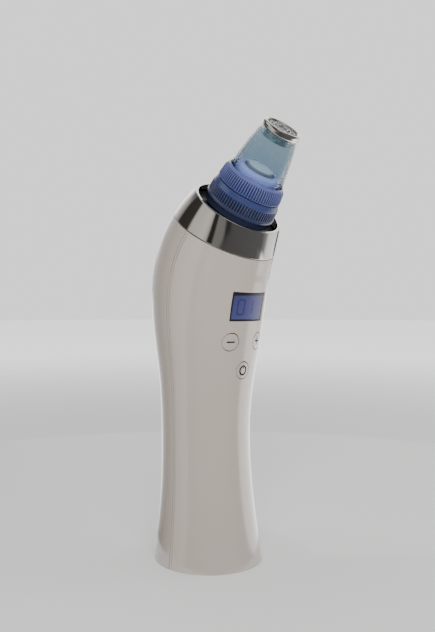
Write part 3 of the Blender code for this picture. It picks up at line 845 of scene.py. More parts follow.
class HousingForm:
    """The outer surface of the housing: ellipses along a spine that bends over the front."""

    SECTIONS = (
        (-2.0, -0.1, -1.7, 25.8, 25.3),
        (0.0, 0.0, -1.7, 25.5, 25.0),
        (20.8, 0.6, -1.7, 22.6, 22.7),
        (41.6, 1.2, -1.5, 20.8, 21.2),
        (52.0, 1.45, -1.2, 20.4, 20.9),
        (62.4, 1.55, 0.1, 20.3, 21.0),
        (83.2, 1.0, 2.3, 21.5, 22.35),
        (104.0, 0.4, 1.1, 24.3, 25.0),
        (124.7, -0.6, 7.3, 26.8, 26.05),
        (134.9, -2.6, 15.7, 27.2, 25.55),
        (144.5, -6.5, 28.8, 26.5, 24.55),
        (150.55, -10.25, 34.0, 25.15, 23.7),
        (157.45, -15.25, 37.6, 22.5, 22.65),
        (162.1, -18.95, 39.2, 19.8, 21.95),
        (165.5, -21.75, 39.6, 17.3, 21.5),
    )
    PARTING_POINT, PARTING_LEAN_DEG = Vector((0.0, -10.25, 150.55)), 30.6
    RIM_HEIGHT = 162.1
    SEARCH, HALVINGS = 9.0, 40

    def __init__(self) -> None:
        """Fits a curve to each column of the sections."""
        columns = list(zip(*self.SECTIONS))
        self.curves = [SmoothCurve(columns[0], column) for column in columns[1:]]
        self.rows: dict[float, tuple[float, ...]] = {}

    def section(self, height: float) -> tuple[float, float, float, float, float]:
        """Offset, sine and cosine of the lean, half depth and half width at a height.

        Args:
            height: The height of the section's centre.

        Returns:
            The five values, kept for the next call.
        """
        key = round(height, 6)
        if key not in self.rows:
            back, lean, depth, width = (curve.at(height) for curve in self.curves)
            turn = math.radians(lean)
            self.rows[key] = (back, math.sin(turn), math.cos(turn), depth, width)
        return self.rows[key]

    def point(self, angle_deg: float, height: float, inset: float = 0.0) -> Vector:
        """A point of the surface.

        Args:
            angle_deg: 0 at the front, 90 on the +X side.
            height: The height of the section's centre.
            inset: How far inside the surface it lies.

        Returns:
            The point in millimetres.
        """
        back, sine, cosine, depth, width = self.section(height)
        turn = math.radians(angle_deg)
        reach = (depth - inset) * math.cos(turn)
        return Vector(((width - inset) * math.sin(turn), back - reach * cosine, height - reach * sine))

    def front(self, x: float, z: float, inset: float = 0.0) -> Vector:
        """The point of the front surface at a given x and z.

        Args:
            x: Place across.
            z: Place upwards.
            inset: How far inside the surface it lies.

        Returns:
            The point in millimetres.
        """
        height = z
        for _ in range(12):
            _, sine, _, depth, width = self.section(height)
            turn = math.asin(max(-1.0, min(1.0, x / (width - inset))))
            height = z + (depth - inset) * math.cos(turn) * sine
        return self.point(math.degrees(turn), height, inset)

    def crossing(self, angle_deg: float, plane: "Plane", inset: float = 0.0) -> float:
        """The height of the section where a column of the surface meets a plane.

        Args:
            angle_deg: The column.
            plane: The plane.
            inset: How far inside the surface the column lies.

        Returns:
            The height of that section's centre.
        """
        low, high = plane.near - self.SEARCH, plane.near + self.SEARCH
        for _ in range(self.HALVINGS):
            middle = (low + high) / 2
            if plane.above(self.point(angle_deg, middle, inset)) < 0:
                low = middle
            else:
                high = middle
        return (low + high) / 2

    def sheet(
        self, angles: Sequence[float], rows: "Rows", inset: float = 0.0, closed: bool = False
    ) -> bmesh.types.BMesh:
        """An open sheet of the surface, as a grid bent round the form.

        Args:
            angles: The columns, in degrees.
            rows: The rows' heights, or a function that gives them for each column.
            inset: How far inside the surface it lies.
            closed: Whether the last column meets the first.

        Returns:
            The sheet, with its faces outwards.
        """
        columns = [rows(angle) if callable(rows) else rows for angle in angles]
        shape = bmesh.new()
        across, up = len(angles) - 1, len(columns[0]) - 1
        bmesh.ops.create_grid(shape, x_segments=across, y_segments=up, size=1.0)
        for vert in shape.verts:
            column = round((vert.co.x + 1) / 2 * across)
            row = round((vert.co.y + 1) / 2 * up)
            vert.co = self.point(angles[column], columns[column][row], inset)
        if closed:
            bmesh.ops.remove_doubles(shape, verts=shape.verts, dist=0.001)
        shape.normal_update()
        return shape

    @staticmethod
    def wall(shape: bmesh.types.BMesh, thickness: float, planes: Sequence["Plane"]) -> None:
        """Gives a sheet its wall inwards, and keeps the rims that lie in the planes flat.

        Args:
            shape: The open sheet.
            thickness: The wall's thickness.
            planes: The planes that its rims lie in.
        """
        bmesh.ops.solidify(shape, geom=shape.faces[:], thickness=thickness)
        for plane in planes:
            for edge in shape.edges:
                for vert, other in (edge.verts, reversed(edge.verts)):
                    if abs(plane.above(vert.co)) < 0.001 and edge.calc_length() > 0.75 * thickness:
                        other.co -= plane.normal * plane.above(other.co)

    def base(self, height: float = 0.0) -> Plane:
        """A level plane."""
        return Plane(Vector((0.0, 0.0, height)), Vector((0.0, 0.0, 1.0)), height)

    def parting(self) -> Plane:
        """The joint between the shells and the collar."""
        lean = math.radians(self.PARTING_LEAN_DEG)
        return Plane(self.PARTING_POINT, Vector((0.0, -math.sin(lean), math.cos(lean))), self.PARTING_POINT.z)

    def rim(self) -> Plane:
        """The collar's open rim."""
        return Plane(Head.CENTRE, Head.axis(), self.RIM_HEIGHT)

    def ring(
        self, low: Plane, high: Plane, count: int, inset: float = 0.0, columns: int = 120
    ) -> bmesh.types.BMesh:
        """A closed sheet between two planes, with a number of rows and columns.

        Args:
            low: The lower plane.
            high: The upper plane.
            count: Rows of faces between them.
            inset: How far inside the surface it lies.
            columns: Faces round it.

        Returns:
            The sheet, open at both planes.
        """
        angles = [360.0 * i / columns for i in range(columns + 1)]

        def rows(angle: float) -> list[float]:
            """Heights from one plane to the other.

            Args:
                angle: The column, in degrees.

            Returns:
                The rows' heights.
            """
            start, end = self.crossing(angle, low, inset), self.crossing(angle, high, inset)
            return [start + (end - start) * i / count for i in range(count + 1)]

        return self.sheet(angles, rows, inset, True)


def spread(*stops: tuple[float, float]) -> list[float]:
    """Values from stop to stop.

    Args:
        stops: Pairs of a value and the largest step up to it. The first pair's step isn't used.

    Returns:
        The values, ends included.
    """
    values = [stops[0][0]]
    for (start, _), (end, step) in zip(stops, stops[1:]):
        count = max(1, math.ceil(abs(end - start) / step))
        values += [start + (end - start) * i / count for i in range(1, count + 1)]
    return values


class Head:
    """The head's own axis, through the collar's rim."""

    CENTRE = Vector((0.0, -18.9, 162.1))
    LEAN_DEG = 38.0

    @classmethod
    def matrix(cls) -> Matrix:
        """From the head's frame to the row frame, in millimetres."""
        return Matrix.Translation(cls.CENTRE) @ Matrix.Rotation(math.radians(cls.LEAN_DEG), 4, "X")

    @classmethod
    def origin(cls) -> tuple[float, float, float]:
        """The head's centre in metres."""
        return tuple(part * MM for part in cls.CENTRE)

    @classmethod
    def axis(cls) -> Vector:
        """The direction that the probe points in."""
        return (cls.matrix().to_3x3() @ Vector((0, 0, 1))).normalized()


RIBS = 76

WHITE = PearlGloss("pearl_white", "white_plastic", (0.46, 0.405, 0.365), 0.22)
CHROME = PlatedMetal("plated_collar", "chrome", (0.80, 0.78, 0.75), 0.05, 1.0)
BLACK = Finish("black_moulding", "black_plastic", (0.012, 0.012, 0.014), 0.4)
# The skirt's dark low end is painted shade, where it sits down in the collar's recess.
BLUE_LOWER = TintedPlastic(
    "blue_skirt", "blue_plastic", (0.036, 0.05, 0.14), 0.16, low_end_colour=(0.026, 0.033, 0.065), low=-0.5, high=8.5,
    transmission=0.1, ribs=RIBS, ribbed=(2.75, 7.45),
)
BLUE_UPPER = TintedPlastic(
    "blue_cap", "blue_plastic", (0.10, 0.12, 0.31), 0.14, low_end_colour=(0.05, 0.07, 0.22), low=9.0, high=15.5,
    transmission=0.1, ribs=RIBS, ribbed=(10.3, 16.2),
)
CLEAR = TintedPlastic(
    "clear_cone", "clear_plastic", (0.09, 0.19, 0.25), 0.02, low_end_colour=(0.045, 0.125, 0.22), low=18.0, high=37.0,
    transmission=1.0, ior=1.16, grain=0.02, alpha=0.5, coat=0.25,
)
# Its bore is painted dark: painted shade in the gap round the foam pad.
FROSTED = TintedPlastic(
    "frosted_cup", "frosted_plastic", (0.60, 0.57, 0.98), 0.25, low_end_colour=(0.12, 0.15, 0.45), low=13.5, high=18.8,
    transmission=0.0, painted_shade_bore=7.45,
)
SPONGE = FoamPad("filter_foam", "sponge", (0.98, 0.95, 1.0), 0.95)
GRIT = GritMetal("abrasive_metal", "steel", (0.86, 0.83, 0.80), 0.09, 1.0)
STEEL = PlatedMetal("screw_steel", "steel", (0.60, 0.60, 0.60), 0.25, 1.0)
RUBBER = Finish("black_rubber", "black_rubber", (0.02, 0.02, 0.02), 0.7)
DISPLAY = LitDisplay("lit_display", "display_glass", (0.025, 0.025, 0.085), 0.42)
# The digits share the display's painted shade towards the left and the top.
DIGIT = LitDisplay(
    "display_digit", "display_blue", (0.02, 0.02, 0.08), 0.42, glow=(0.012, 0.016, 0.08),
    bright=(0.035, 0.04, 0.14),
)
MARK = Finish("button_mark", "black_plastic", (0.004, 0.0035, 0.0035), 0.9)
WHITE_MATT = Finish("matt_white", "white_plastic", (0.56, 0.52, 0.485), 0.5)

CARRIED: dict[str, Finish] = {
    "white_plastic": WHITE,
    "chrome": CHROME,
    "black_plastic": BLACK,
    "blue_plastic": BLUE_LOWER,
    "clear_plastic": CLEAR,
    "frosted_plastic": FROSTED,
    "sponge": SPONGE,
    "steel": STEEL,
    "display_glass": DISPLAY,
    "display_blue": Finish("display_module", "display_blue", (0.14, 0.15, 0.4), 0.3),
    "circuit_board": Finish("circuit_board", "circuit_board", (0.02, 0.14, 0.06), 0.45),
    "black_rubber": RUBBER,
    "silicone": Finish("silicone", "silicone", (0.7, 0.72, 0.72), 0.4),
    "battery_wrap": Finish("battery_wrap", "battery_wrap", (0.06, 0.15, 0.42), 0.35),
    "red_lead": Finish("red_lead", "red_lead", (0.5, 0.02, 0.02), 0.45),
}


# ----------------------------------------------------------------------------------- sub-assemblies


def soften(made: bpy.types.Object, width: float, segments: int, angle_deg: float = 50.0) -> bpy.types.Object:
    """Rounds an object's sharp edges with a modifier.

    Args:
        made: The object.
        width: The rounding in millimetres.
        segments: Its steps.
        angle_deg: Edges sharper than this are rounded.

    Returns:
        The same object.
    """
    soft = made.modifiers.new("edge", "BEVEL")
    soft.width, soft.segments, soft.limit_method = width * MM, segments, "ANGLE"
    soft.angle_limit, soft.use_clamp_overlap = math.radians(angle_deg), False
    return made


@dataclass
class Housing:
    """The two shells and the tongues that show in their side seams."""

    form: HousingForm
    wall: float = 2.0
    edge: float = 0.14
    seam_deg: float = 2.0
    tongue_deg: float = 1.3
    tongue_inset: float = 0.1
    tongue_wall: float = 1.4
    window_deg: float = 24.4
    window_rows: Pair = (112.7, 128.85)
    button_radius: float = 4.1
    buttons: tuple[Pair, ...] = ((-8.7, 102.6), (8.7, 102.6), (0.0, 89.6))
    cut_margin: float = 0.15
    rim_margin: float = 1.5
    ease_margin: float = 3.0
    straight: Pair = (20.0, 133.0)
    waist: float = 84.0
    fan_rows: int = 22

    def build(self) -> None:
        """Makes the shells and the tongues."""
        self.front_shell()
        self.back_shell()
        self.tongues()

    def rows(self, inset: float = 0.0) -> Callable[[float], list[float]]:
        """The shells' rows: level in the middle, with the window's edges among them, and fanned at the ends.

        Args:
            inset: How far inside the surface the rows lie.

        Returns:
            A function that gives the heights for each column.
        """
        (low, high), (start, end) = self.window_rows, self.straight
        middle = spread((start, 1), (self.waist, 1.3), (low, 0.8), (high, 0.7), (end, 0.9))
        parts = [i / self.fan_rows for i in range(self.fan_rows)]

        def column(angle: float) -> list[float]:
            """Heights from the base's plane to the parting plane.

            Args:
                angle: The column, in degrees.

            Returns:
                The rows' heights.
            """
            foot = self.form.crossing(angle, self.form.base(), inset)
            head = self.form.crossing(angle, self.form.parting(), inset)
            below = [foot + (start - foot) * part for part in parts]
            return below + middle + [head - (head - end) * part for part in reversed(parts)]

        return column

    def place(self, piece: Piece, sheet: bmesh.types.BMesh, wall: float) -> bpy.types.Object:
        """Gives a sheet its wall and softens its edges.

        Args:
            piece: What the sheet becomes.
            sheet: The open sheet.
            wall: The wall's thickness.

        Returns:
            The object.
        """
        self.form.wall(sheet, wall, (self.form.base(), self.form.parting()))
        return soften(piece.place(sheet), self.edge, 2)

    def front_shell(self) -> None:
        """The front shell, with the openings for the window and the buttons."""
        edge = 90 - self.seam_deg
        angles = spread((-edge, 1), (-self.window_deg, 1.3), (self.window_deg, 1.25), (edge, 1.3))
        shape = self.form.sheet(angles, self.rows())
        low, high = self.window_rows
        reach = self.form.point(self.window_deg, (low + high) / 2).x
        window = [
            face for face in shape.faces
            if abs(face.calc_center_median().x) < reach and face.calc_center_median().y < 0
            and self._between(face.calc_center_median(), low, high)
        ]
        bmesh.ops.delete(shape, geom=window, context="FACES")
        for x, z in self.buttons:
            self.round_opening(shape, x, z)
        self.place(Piece("front_shell_skin", WHITE, "housing", ("front_shell",)), shape, self.wall)

    def _between(self, point: Vector, low: float, high: float) -> bool:
        """Whether a point of the front lies between two rows of the form.

        Args:
            point: The point.
            low: The lower row.
            high: The upper row.

        Returns:
            True inside the band.
        """
        edge_low, edge_high = self.form.point(0, low), self.form.point(0, high)
        for edge, height, side in ((edge_low, low, 1), (edge_high, high, -1)):
            back, sine, cosine, _, _ = self.form.section(height)
            if side * (point - edge).dot(Vector((0, -sine, cosine))) < 0:
                return False
        return True

    def round_opening(self, shape: bmesh.types.BMesh, x: float, z: float) -> None:
        """Opens a round hole in the sheet and eases the mesh round it.

        Args:
            shape: The sheet.
            x: The hole's centre across.
            z: The hole's centre upwards.
        """
        radius = self.button_radius

        def away(point: Vector) -> float:
            """Distance from the hole's axis."""
            return math.hypot(point.x - x, point.z - z)

        middles = {face: face.calc_center_median() for face in shape.faces}
        cut = radius + self.cut_margin
        near = [face for face, middle in middles.items() if middle.y < 0 and away(middle) < cut]
        bmesh.ops.delete(shape, geom=near, context="FACES")
        border = {vert for edge in shape.edges if edge.is_boundary for vert in edge.verts}
        rim = {vert for vert in border if vert.co.y < 0 and away(vert.co) < radius + self.rim_margin}
        reach = radius + self.ease_margin
        around = [v for v in shape.verts if v not in rim and v.co.y < 0 and away(v.co) < reach]
        for vert in rim:
            scale = radius / away(vert.co)
            vert.co = self.form.front(x + (vert.co.x - x) * scale, z + (vert.co.z - z) * scale)
        for _ in range(6):
            bmesh.ops.smooth_vert(
                shape, verts=around, factor=0.4, use_axis_x=True, use_axis_y=False, use_axis_z=True,
            )
        for vert in around:
            vert.co = self.form.front(vert.co.x, vert.co.z)

    def back_shell(self) -> None:
        """The back shell."""
        edge = 90 + self.seam_deg
        angles = spread((edge, 1), (360 - edge, 1.5))
        piece = Piece("back_shell_skin", WHITE, "housing", ("back_shell",))
        self.place(piece, self.form.sheet(angles, self.rows()), self.wall)

    def tongues(self) -> None:
        """The back shell's tongue that shows as the floor of each side seam."""
        for centre, side in ((90.0, "right"), (270.0, "left")):
            angles = spread((centre - self.tongue_deg, 1), (centre + self.tongue_deg, 0.75))
            sheet = self.form.sheet(angles, self.rows(self.tongue_inset), self.tongue_inset)
            self.place(Piece(f"seam_tongue_{side}", WHITE, "housing"), sheet, self.tongue_wall)


@dataclass
class Collar:
    """The plated collar between the shells and the nozzle."""

    form: HousingForm
    wall: float = 1.4
    gap: float = 0.3
    rim_edge: float = 0.3
    columns: int = 180

    def build(self) -> None:
        """Makes the collar from a closed sheet cut by its two planes."""
        joint, rim = self.form.parting().raised(self.gap), self.form.rim()
        shape = self.form.ring(joint, rim, 20, 0.0, self.columns)
        self.form.wall(shape, self.wall, (joint, rim))
        soften(Piece("collar_ring", CHROME, "housing", ("collar",)).place(shape), self.rim_edge, 3)


@dataclass
class Base:
    """The cover in the housing's foot, with its air slots, screws and charging socket."""

    form: HousingForm
    inset: float = 2.4
    plate: float = 2.3
    height: float = 5.0
    rim_wall: float = 1.5
    screw_spots: tuple[Pair, ...] = ((-10.0, -6.6), (10.0, -6.6))

    def build(self) -> None:
        """Makes the cover, the screws and the socket."""
        self.cover()
        for (x, y), side in zip(self.screw_spots, ("left", "right")):
            self.screw(x, y, side)
        self.socket()

    def cover(self) -> None:
        """The cover: a plate with a raised rim and its openings."""
        foot, plate, rim = (self.form.base(height) for height in (0.0, self.plate, self.height))
        outer = self.form.ring(foot, rim, 4, self.inset)
        inner = self.form.ring(plate, rim, 3, self.inset + self.rim_wall)
        shape = Shape.merged([outer, inner])
        top = [e for e in shape.edges if e.is_boundary and all(v.co.z > self.height - 0.01 for v in e.verts)]
        bmesh.ops.bridge_loops(shape, edges=top)
        Shape.sealed(shape)
        tools = [Shape.block((-4.4, 9.9, -1), (4.4, 13.75, 4), 0.6)]
        tools += [Shape.block((x - 0.6, -19, -1), (x + 0.6, -12, 4), 0.5) for x in range(-6, 7, 3)]
        for x, y in self.screw_spots:
            for end, radius in ((4, 1.35), (1.3, 2.8)):
                tools.append(Shape.rod(Vector((x, y, -1)), Vector((x, y, end)), radius))
        piece = Piece("base_cover", WHITE_MATT, "housing", ("bottom_cover",))
        soften(piece.place(Shape.carved(shape, tools)), 0.2, 2)

    def screw(self, x: float, y: float, side: str) -> None:
        """A round-headed screw with a cross in its head, which faces down.

        Args:
            x: Place across.
            y: Place from front to back.
            side: Which of the two screws it is.
        """
        profile = [
            (0.0, 0.2), (1.3, 0.2), (1.9, 0.28), (2.25, 0.5), (2.4, 0.8), (2.4, 1.0), (1.0, 1.0), (1.0, 10.8),
            (0.3, 11.5), (0.0, 11.5),
        ]
        shape = Shape.turned(profile, 48, closed=False)
        slots = [
            Shape.block((-1.4, -0.28, -1), (1.4, 0.28, 0.65)),
            Shape.block((-0.28, -1.4, -1), (0.28, 1.4, 0.66)),
        ]
        piece = Piece(f"cover_screw_{side}", STEEL, "housing", (f"base_screw_{side}",))
        piece.place(Shape.carved(shape, slots), Matrix.Translation((x, y, 0)))

    def socket(self) -> None:
        """The charging socket: a folded shell round a contact tongue."""
        shell = Shape.block((-3.7, 10.6, 0.6), (3.7, 13.4, 6.2), 0.5)
        shell = Shape.carved(shell, [Shape.block((-3.35, 11.0, -1), (3.35, 13.0, 5.6), 0.35)])
        tongue = Shape.block((-2.4, 11.75, 1.3), (2.4, 12.25, 5.7), 0.1)
        Piece("charging_port", STEEL, "housing", ("charge_socket",)).place(Shape.merged([shell, tongue]))


@dataclass
class Display:
    """The curved pane in its opening, with its lit face and its digits."""

    form: HousingForm
    half_width: float = 10.4
    rows: Pair = (113.05, 128.45)
    recess: float = 0.5
    thickness: float = 1.3
    digit_middle: float = 117.9
    digit_height: float = 6.4
    digit_width: float = 3.4
    stroke: float = 0.75
    digit_gap: float = 0.02
    digit_thickness: float = 0.015
    form_half_width: float = 25.9
    edge: float = 0.12

    def build(self) -> None:
        """Makes the pane and the digits."""
        turn = math.degrees(math.asin(self.half_width / self.form_half_width))
        rows = spread((self.rows[0], 1), (self.rows[1], 0.7))
        shape = self.form.sheet(spread((-turn, 1), (turn, 1.2)), rows, self.recess)
        made = Piece("display_pane", DISPLAY, "housing", ("display_window",)).place(shape)
        solid = made.modifiers.new("wall", "SOLIDIFY")
        solid.thickness, solid.offset = self.thickness * MM, -1.0
        soft = made.modifiers.new("edge", "BEVEL")
        soft.width, soft.segments, soft.limit_method = self.edge * MM, 2, "ANGLE"
        self.digits()

    def digits(self) -> None:
        """Seven-bar digits laid on the pane."""
        bars = []
        for centre, lit in ((-5.6, "abcdef"), (-0.6, "bc")):
            bars += [self.bar(centre, name) for name in lit]
        Piece("display_digits", DIGIT, "housing", sharpness=Sharpness.FLAT).place(Shape.merged(bars))

    def bar(self, centre: float, name: str) -> bmesh.types.BMesh:
        """One bar of a digit, bent onto the pane.

        Args:
            centre: The digit's middle across.
            name: The bar's letter, from a at the top round to f, with g in the middle.

        Returns:
            The bar, just proud of the pane.
        """
        wide, tall = self.digit_width / 2, self.digit_height / 2
        across = {"a": tall, "g": 0.0, "d": -tall}
        if name in across:
            spot, size = (centre, self.digit_middle + across[name]), (wide - 0.25, self.stroke / 2)
        else:
            side = wide if name in "bc" else -wide
            spot = (centre + side, self.digit_middle + (tall / 2 if name in "bf" else -tall / 2))
            size = (self.stroke / 2, tall / 2 - 0.25)
        shape = bmesh.new()
        bmesh.ops.create_grid(shape, x_segments=4, y_segments=4, size=1.0)
        for vert in shape.verts:
            x, z = spot[0] + vert.co.x * size[0], spot[1] + vert.co.y * size[1]
            vert.co = self.form.front(x, z, self.recess - self.digit_gap)
        return Shape.thickened(shape, self.digit_thickness)


class Sign(Enum):
    """The sign on a button."""

    MINUS = "minus"
    PLUS = "plus"
    POWER = "power"


@dataclass
class Button:
    """A push button whose face follows the housing, with its sign."""

    form: HousingForm
    sign: Sign
    x: float
    z: float
    radius: float = 3.74
    flange_radius: float = 4.7
    stem_radius: float = 1.5
    flange: Pair = (-17.1, -16.2)
    stem_end: float = -15.6
    edge: float = 0.18
    rings: tuple[float, ...] = (0.25, 0.5, 0.8, 0.8, 0.8)
    sign_gap: float = 0.015
    sign_thickness: float = 0.03

    def build(self) -> None:
        """Makes the button's body and its sign."""
        name = self.sign.value
        body = f"{name}_key"
        shape = self.cap()
        stem = (self.flange[1] - 0.2, self.stem_end, self.stem_radius)
        for start, end, radius in ((*self.flange, self.flange_radius), stem):
            rod = Shape.rod(Vector((self.x, start, self.z)), Vector((self.x, end, self.z)), radius)
            shape = Shape.merged([shape, rod])
        Piece(f"{name}_button_cap", WHITE, body, (f"{name}_button",)).place(shape)
        Piece(f"{name}_button_sign", MARK, body, sharpness=Sharpness.FLAT).place(Shape.merged(self.strokes()))

    def cap(self) -> bmesh.types.BMesh:
        """The cap: a disc bent to the housing's curve and drawn back to its flange.

        Returns:
            The closed cap.
        """
        shape = bmesh.new()
        bmesh.ops.create_circle(shape, cap_ends=True, segments=72, radius=self.radius)
        for step in self.rings:
            top = max(shape.faces, key=lambda face: len(face.verts))
            bmesh.ops.inset_region(shape, faces=[top], thickness=step, use_even_offset=True)
        top = max(shape.faces, key=lambda face: len(face.verts))
        bmesh.ops.poke(shape, faces=[top])
        for vert in shape.verts:
            vert.co = self.form.front(self.x + vert.co.x, self.z + vert.co.y)
        rim = [edge for edge in shape.edges if edge.is_boundary]
        wall = bmesh.ops.extrude_edge_only(shape, edges=rim)["geom"]
        for vert in wall:
            if isinstance(vert, bmesh.types.BMVert):
                vert.co.y = self.flange[0] + 0.1
        Shape.sealed(shape)
        Shape.round_edges(shape, self.edge, 60.0, 3)
        return shape

    def strokes(self) -> list[bmesh.types.BMesh]:
        """The sign's strokes, just proud of the cap.

        Returns:
            The closed strokes.
        """
        if self.sign is Sign.POWER:
            return [self.arc(1.95, 0.74, 14.0, 346.0), self.stroke(0.0, 1.75, 0.3, 0.8)]
        bars = [self.stroke(0.0, 0.0, 1.85, 0.31)]
        if self.sign is Sign.PLUS:
            bars.append(self.stroke(0.0, 0.0, 0.31, 1.85))
        return bars

    def stroke(self, across: float, up: float, wide: float, tall: float) -> bmesh.types.BMesh:
        """A straight stroke with its half sizes.

        Args:
            across: Its middle from the button's.
            up: Its middle above the button's.
            wide: Half its width.
            tall: Half its height.

        Returns:
            The closed stroke.
        """
        shape = bmesh.new()
        bmesh.ops.create_grid(shape, x_segments=8, y_segments=8, size=1.0)
        for vert in shape.verts:
            x, z = self.x + across + vert.co.x * wide, self.z + up + vert.co.y * tall
            vert.co = self.form.front(x, z, -self.sign_gap)
        return Shape.thickened(shape, self.sign_thickness)

    def arc(self, radius: float, width: float, start_deg: float, end_deg: float) -> bmesh.types.BMesh:
        """A curved stroke. The angles run clockwise from the top.

        Args:
            radius: Its middle radius.
            width: Its breadth.
            start_deg: Where it starts.
            end_deg: Where it ends.

        Returns:
            The closed stroke.
        """
        shape = bmesh.new()
        bmesh.ops.create_grid(shape, x_segments=60, y_segments=3, size=1.0)
        for vert in shape.verts:
            turn = math.radians(start_deg + (end_deg - start_deg) * (vert.co.x + 1) / 2)
            reach = radius + vert.co.y * width / 2
            x, z = self.x + reach * math.sin(turn), self.z + reach * math.cos(turn)
            vert.co = self.form.front(x, z, -self.sign_gap)
        return Shape.thickened(shape, self.sign_thickness)


@dataclass
class Nozzle:
    """The fixed nozzle inside the collar: black seat, seal ring, filter cup and foam pad."""

    form: HousingForm
    plate_heights: Pair = (156.8, 158.8)
    plate_inset: float = 2.1
    seal_radius: float = 11.3
    seal_height: float = 2.0
    seal_wire: float = 0.85

    def build(self) -> None:
        """Makes each of the four pieces."""
        seat = [
            (1.0, 12.6), (8.6, 12.6), (8.6, 6.0), (10.1, 6.0), (10.1, -3.9), (16.5, -3.9), (16.5, -12.0),
            (15.1, -12.0), (15.1, -6.4), (1.6, -6.4), (1.6, -16.5), (1.0, -16.5),
        ]
        plate = self.plate()
        core = Shape.turned(seat, rounding=0.15)
        bmesh.ops.transform(core, matrix=Head.matrix(), verts=core.verts)
        Piece("nozzle_body", BLACK, "housing", ("nozzle_seat",)).place(Shape.merged([plate, core]))
        turns = [2 * math.pi * index / 20 for index in range(20)]
        radius, height, wire = self.seal_radius, self.seal_height, self.seal_wire
        seal = [(radius + wire * math.cos(turn), height + wire * math.sin(turn)) for turn in turns]
        self.on_head("nozzle_seal", RUBBER, seal, "seal_ring")
        cup = [
            (7.15, 19.55), (7.3, 19.6), (9.3, 19.4), (9.8, 19.1), (10.0, 18.6), (10.4, 12.0), (10.4, 6.3),
            (8.9, 6.3), (8.9, 12.9), (2.0, 12.9), (2.0, 13.9), (7.1, 13.9),
        ]
        self.on_head("filter_cup_body", FROSTED, cup, "filter_cup")
        pad = [
            (0.0, 21.25), (3.0, 21.2), (5.0, 21.05), (5.8, 20.75), (6.2, 20.2), (6.3, 19.5), (6.3, 14.2),
            (0.0, 14.2),
        ]
        self.on_head("filter_foam_disc", SPONGE, pad, "filter_pad", closed=False)

    def on_head(
        self, name: str, finish: Finish, profile: Sequence[Pair], node: str, closed: bool = True
    ) -> bpy.types.Object:
        """A turned piece on the head's axis that stands for a frame node.

        Args:
            name: The piece's name.
            finish: Its finish.
            profile: Points of (radius, height).
            node: The node that it stands for.
            closed: Whether the profile's ends are joined.

        Returns:
            The object.
        """
        shape = Shape.turned(profile, closed=closed)
        return Piece(name, finish, "housing", (node,)).place(shape, Head.matrix())

    def plate(self) -> bmesh.types.BMesh:
        """The plate that closes the collar round the nozzle.

        Returns:
            The closed plate.
        """
        angles = [3.0 * i for i in range(121)]
        low, high = self.plate_heights
        shape = self.form.sheet(angles, spread((low, 1), (high, 1)), self.plate_inset, True)
        return Shape.sealed(shape)


